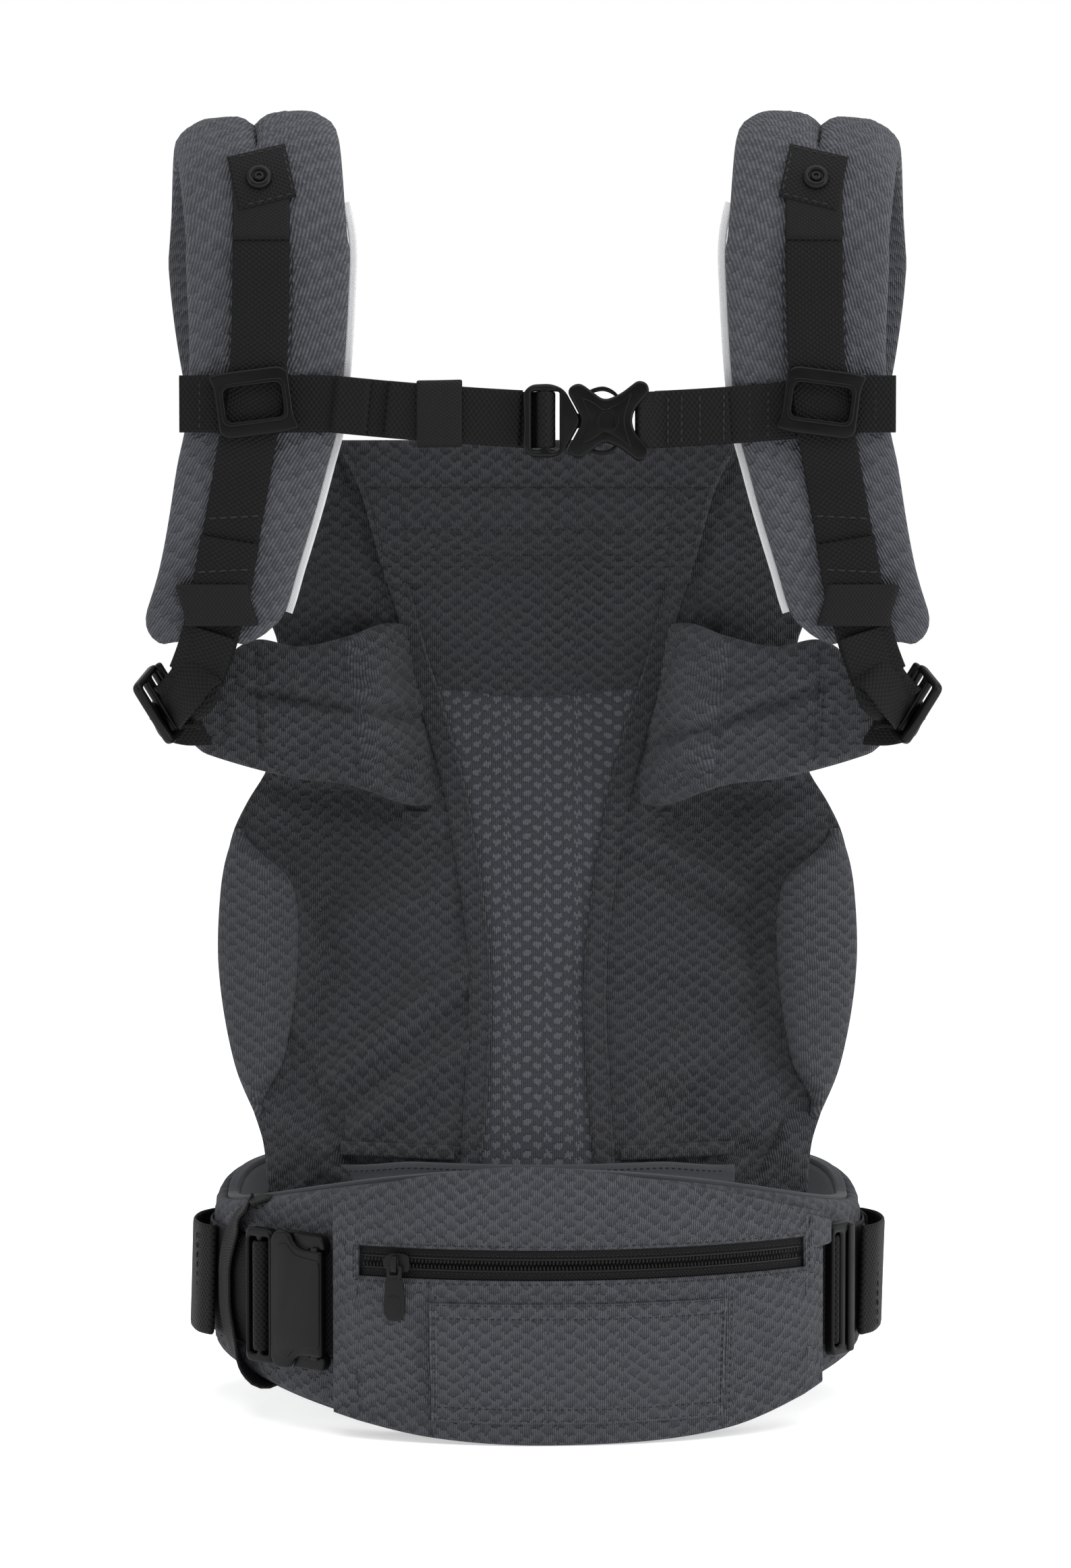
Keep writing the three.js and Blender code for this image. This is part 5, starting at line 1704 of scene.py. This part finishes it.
WAIST = belt_frame(BUCKLE_DEG, -6.8)


def waist_run(low, high, out, steps):
    return [on_belt(mix(low, high, i / steps), -out - 0.8, WAIST_Z) for i in range(steps + 1)]


left_waist = ribbon("waist_webbing_run_left", None, WEB, waist_run(-100, -56, 0.5, 30), (0, 0, 1),
                    WIDE_WEB, 1.6)
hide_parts("waist_webbing_left")
back_waist = ribbon("waist_webbing_run_back", ROOT, WEB, waist_run(100, 260, 0.5, 90), (0, 0, 1),
                    WIDE_WEB, 1.6)
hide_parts("waist_webbing_back")
right_waist = ribbon("waist_webbing_run_right", ROOT, WEB, waist_run(59, 100, 0.5, 30), (0, 0, 1),
                     WIDE_WEB, 1.6)
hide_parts("waist_webbing_right")
for name, side in SIDES:
    spots = ((77, 3.4), (74.4, 4.2), (74.6, 6.2), (79, 8.8), (87, 9.8), (94, 8.6), (98.5, 6.0),
             (100.6, 3.6), (98.5, 2.4), (90, 2.3))
    path = [on_belt(side * deg, -off, WAIST_Z) for deg, off in spots]
    tail = ribbon(f"waist_webbing_fold_{name}", ROOT, WEB, path, (0.03, 0.0, 1), WIDE_WEB, 1.6, count=70)
    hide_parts(f"waist_webbing_tail_{name}")
    for deg in (79.5, 95.5):
        rise = 0.95 + (8.8 if deg < 87 else 7.9)
        ends = [on_belt(side * deg, -rise, WAIST_Z + z) for z in (-23, 23)]
        a = radians(side * deg)
        out = Vector((sin(a) / BELT_WIDE, -cos(a) / BELT_DEEP, 0)).normalized()
        stitch(ROOT, ends, [out] * 2, length=3.0, gap=1.4, thick=0.8)

socket_loop = rounded([(0.6, -27), (3.4, -30.5), (11, -30.5), (14.5, -25.2), (19, -23.4), (30.5, -23.4),
                       (30.5, 23.4), (19, 23.4), (14.5, 25.2), (11, 30.5), (3.4, 30.5), (0.6, 27)],
                      [2, 2, 2.5, 3, 3, 1.5, 1.5, 3, 3, 2.5, 2, 2])
notch_low = rounded([(12, -29.8), (28.5, -29.8), (30.5, -27), (30.5, -23.6), (18, -23.6), (14, -25.4)], 1.5)
notch_high = [(x, -z) for x, z in notch_low]
panel_loop = rounded([(3.8, -24.5), (10.5, -26), (15.5, -20.8), (30.0, -19.4), (30.0, 19.4),
                      (15.5, 20.8), (10.5, 26), (3.8, 24.5)], 2.5)
waist_socket = moulded("waist_buckle_socket_body", ROOT, WAIST,
    ([socket_loop], -4.5, -1.6, 1.3),
    ([panel_loop], -4.9, -3.9, 0.45),
    ([box_loop(27.2, 60, 4, 14.2, 0)], 2.0, 4.5, 1.0),
    ([notch_low], -2.2, 3.0, 0.8),
    ([notch_high], -2.2, 3.0, 0.8),
    ([box_loop(4.0, 50, 1.0, 25.8, 0)], -3.6, 3.6, 0.6))
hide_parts("waist_buckle_socket")
ladder_holes = [box_loop(5.0, 52, 1.6, -11.1, 0), box_loop(4.2, 52, 1.4, -3.9, 0)]
waist_plug = moulded("waist_buckle_plug_body", "waist_plug", WAIST,
    ([box_loop(15.5, 60, 3.6, -7.9, 0)] + ladder_holes, -3.0, 3.0, 1.3),
    ([box_loop(16, 12, 2, 7, 0)], -1.9, 1.9, 0.7))
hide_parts("waist_buckle_plug")
anchor = [WAIST @ Vector(p) for p in ((24, 2.4, 0), (30, 3.2, 0), (36, 4.6, 0), (44, 6.0, 0))]
ribbon("waist_webbing_sewn_end", ROOT, WEB, anchor, (0, 0, 1), 46, 1.4, count=12)
for name, up in (("upper", 1), ("lower", -1)):
    outline = rounded([(0.4, up * 17.5), (17, up * 19.5), (22.4, up * 18), (22.4, up * 24.4),
                       (13.5, up * 26.2), (0.4, up * 22.5)], 2)
    prong = slab(f"waist_prong_spring_{name}", f"waist_prong_{'top' if up > 0 else 'bottom'}",
                 [outline], -2.2, 2.2, 0.7, WAIST)
    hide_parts(f"waist_prong_{name}")
wrap = [WAIST @ Vector(p) for p in ((-22, 5.0, 0), (-15, 4.6, 0), (-11.6, 2.6, 0), (-10.9, -0.5, 0),
                                    (-9.8, -3.3, 0), (-7.4, -4.3, 0), (-5.0, -3.3, 0), (-4.2, -0.5, 0),
                                    (-5.2, 2.6, 0), (-9, 4.2, 0))]
ribbon("waist_webbing_turn", "waist_plug", WEB, wrap, (0, 0, 1), 49, 1.4, count=60)

LOOP_DEG, LOOP_STEPS = -67, 90


def loop_spot(share):
    """The elastic loop round the belt: down the outside, slanting in under the pouch, and up the inside."""
    low, high = belt_bottom(LOOP_DEG), belt_top(LOOP_DEG)
    stops = ((0, -59, -2.4, high + 1.0), (0.06, -63, -3.2, high - 8), (0.14, -67.5, -3.6, high - 24),
             (0.25, -68.5, -3.6, mix(low, high, 0.5)), (0.36, -67.5, -3.6, low + 22),
             (0.44, -63, -3.0, low + 6), (0.5, -58.5, 0, low - 3.4), (0.54, -57, 7, low - 3.6),
             (0.6, -58.5, 14.6, low + 5), (0.75, -60, 15.0, mix(low, high, 0.5)),
             (0.9, -58.5, 14.6, high - 4), (0.96, -57, 7, high + 3.4), (1.0, -59, -2.4, high + 1.0))
    degs, depths, zs = (curve_of(*((s[0], s[k]) for s in stops)) for k in (1, 2, 3))
    return on_belt(degs(share), depths(share), zs(share))


loop_points = [loop_spot(i / LOOP_STEPS) for i in range(LOOP_STEPS + 1)]
loop_sides = []
for i in range(LOOP_STEPS + 1):
    share = i / LOOP_STEPS
    a = radians(LOOP_DEG)
    lean = 0.55 * (bell(share - 0.03, 0.07) - bell(share - 0.46, 0.07))
    loop_sides.append((cos(a), sin(a), lean))
elastic = ribbon("belt_elastic_band", ROOT, ELASTIC, loop_points, loop_sides, 14, 1.5)
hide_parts("belt_elastic_loop")

RIGHT = belt_frame(62, -5.4)
adjuster = moulded("waist_adjuster_body", "adjuster_waist", RIGHT,
    ([box_loop(17, 60, 4.4), box_loop(5.0, 51, 1.8, -3.9, 0), box_loop(3.6, 51, 1.4, 4.4, 0)], -2.3,
     2.5, 1.2),
    ([box_loop(4.6, 58, 2.0, 5.8, 0)], -3.4, -1.4, 0.9))
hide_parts("waist_adjuster_right")
anchor = [RIGHT @ Vector(p) for p in ((-16, 3.8, 0), (-9, 3.0, 0), (-6.2, 0.6, 0), (-3.6, -1.4, 0),
                                      (-0.6, 0.4, 0), (3, 3.4, 0), (10, 4.2, 0))]
ribbon("waist_webbing_anchor", ROOT, WEB, anchor, (0, 0, 1), 49, 1.3, count=40)
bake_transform(left_waist)

# the pouch's folded upper corner on the right
def lip_point(u, v):
    deg = mix(36.5, 41.5, u)
    z = mix(80, 95.5 - 5 * u, v)
    return on_pouch(deg, 1.0 - 5.0 * u * u, z)


lip = cloth("pouch_corner_lip", ROOT, MESH, Surface(lip_point), (12, 12), 1.4, 1.2, 2.4, size=(18, 14))

# ------------------------------------------------------------------ end
simulate()
build_stitches()
for piece in HEAD_BLENDS:
    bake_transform(piece)
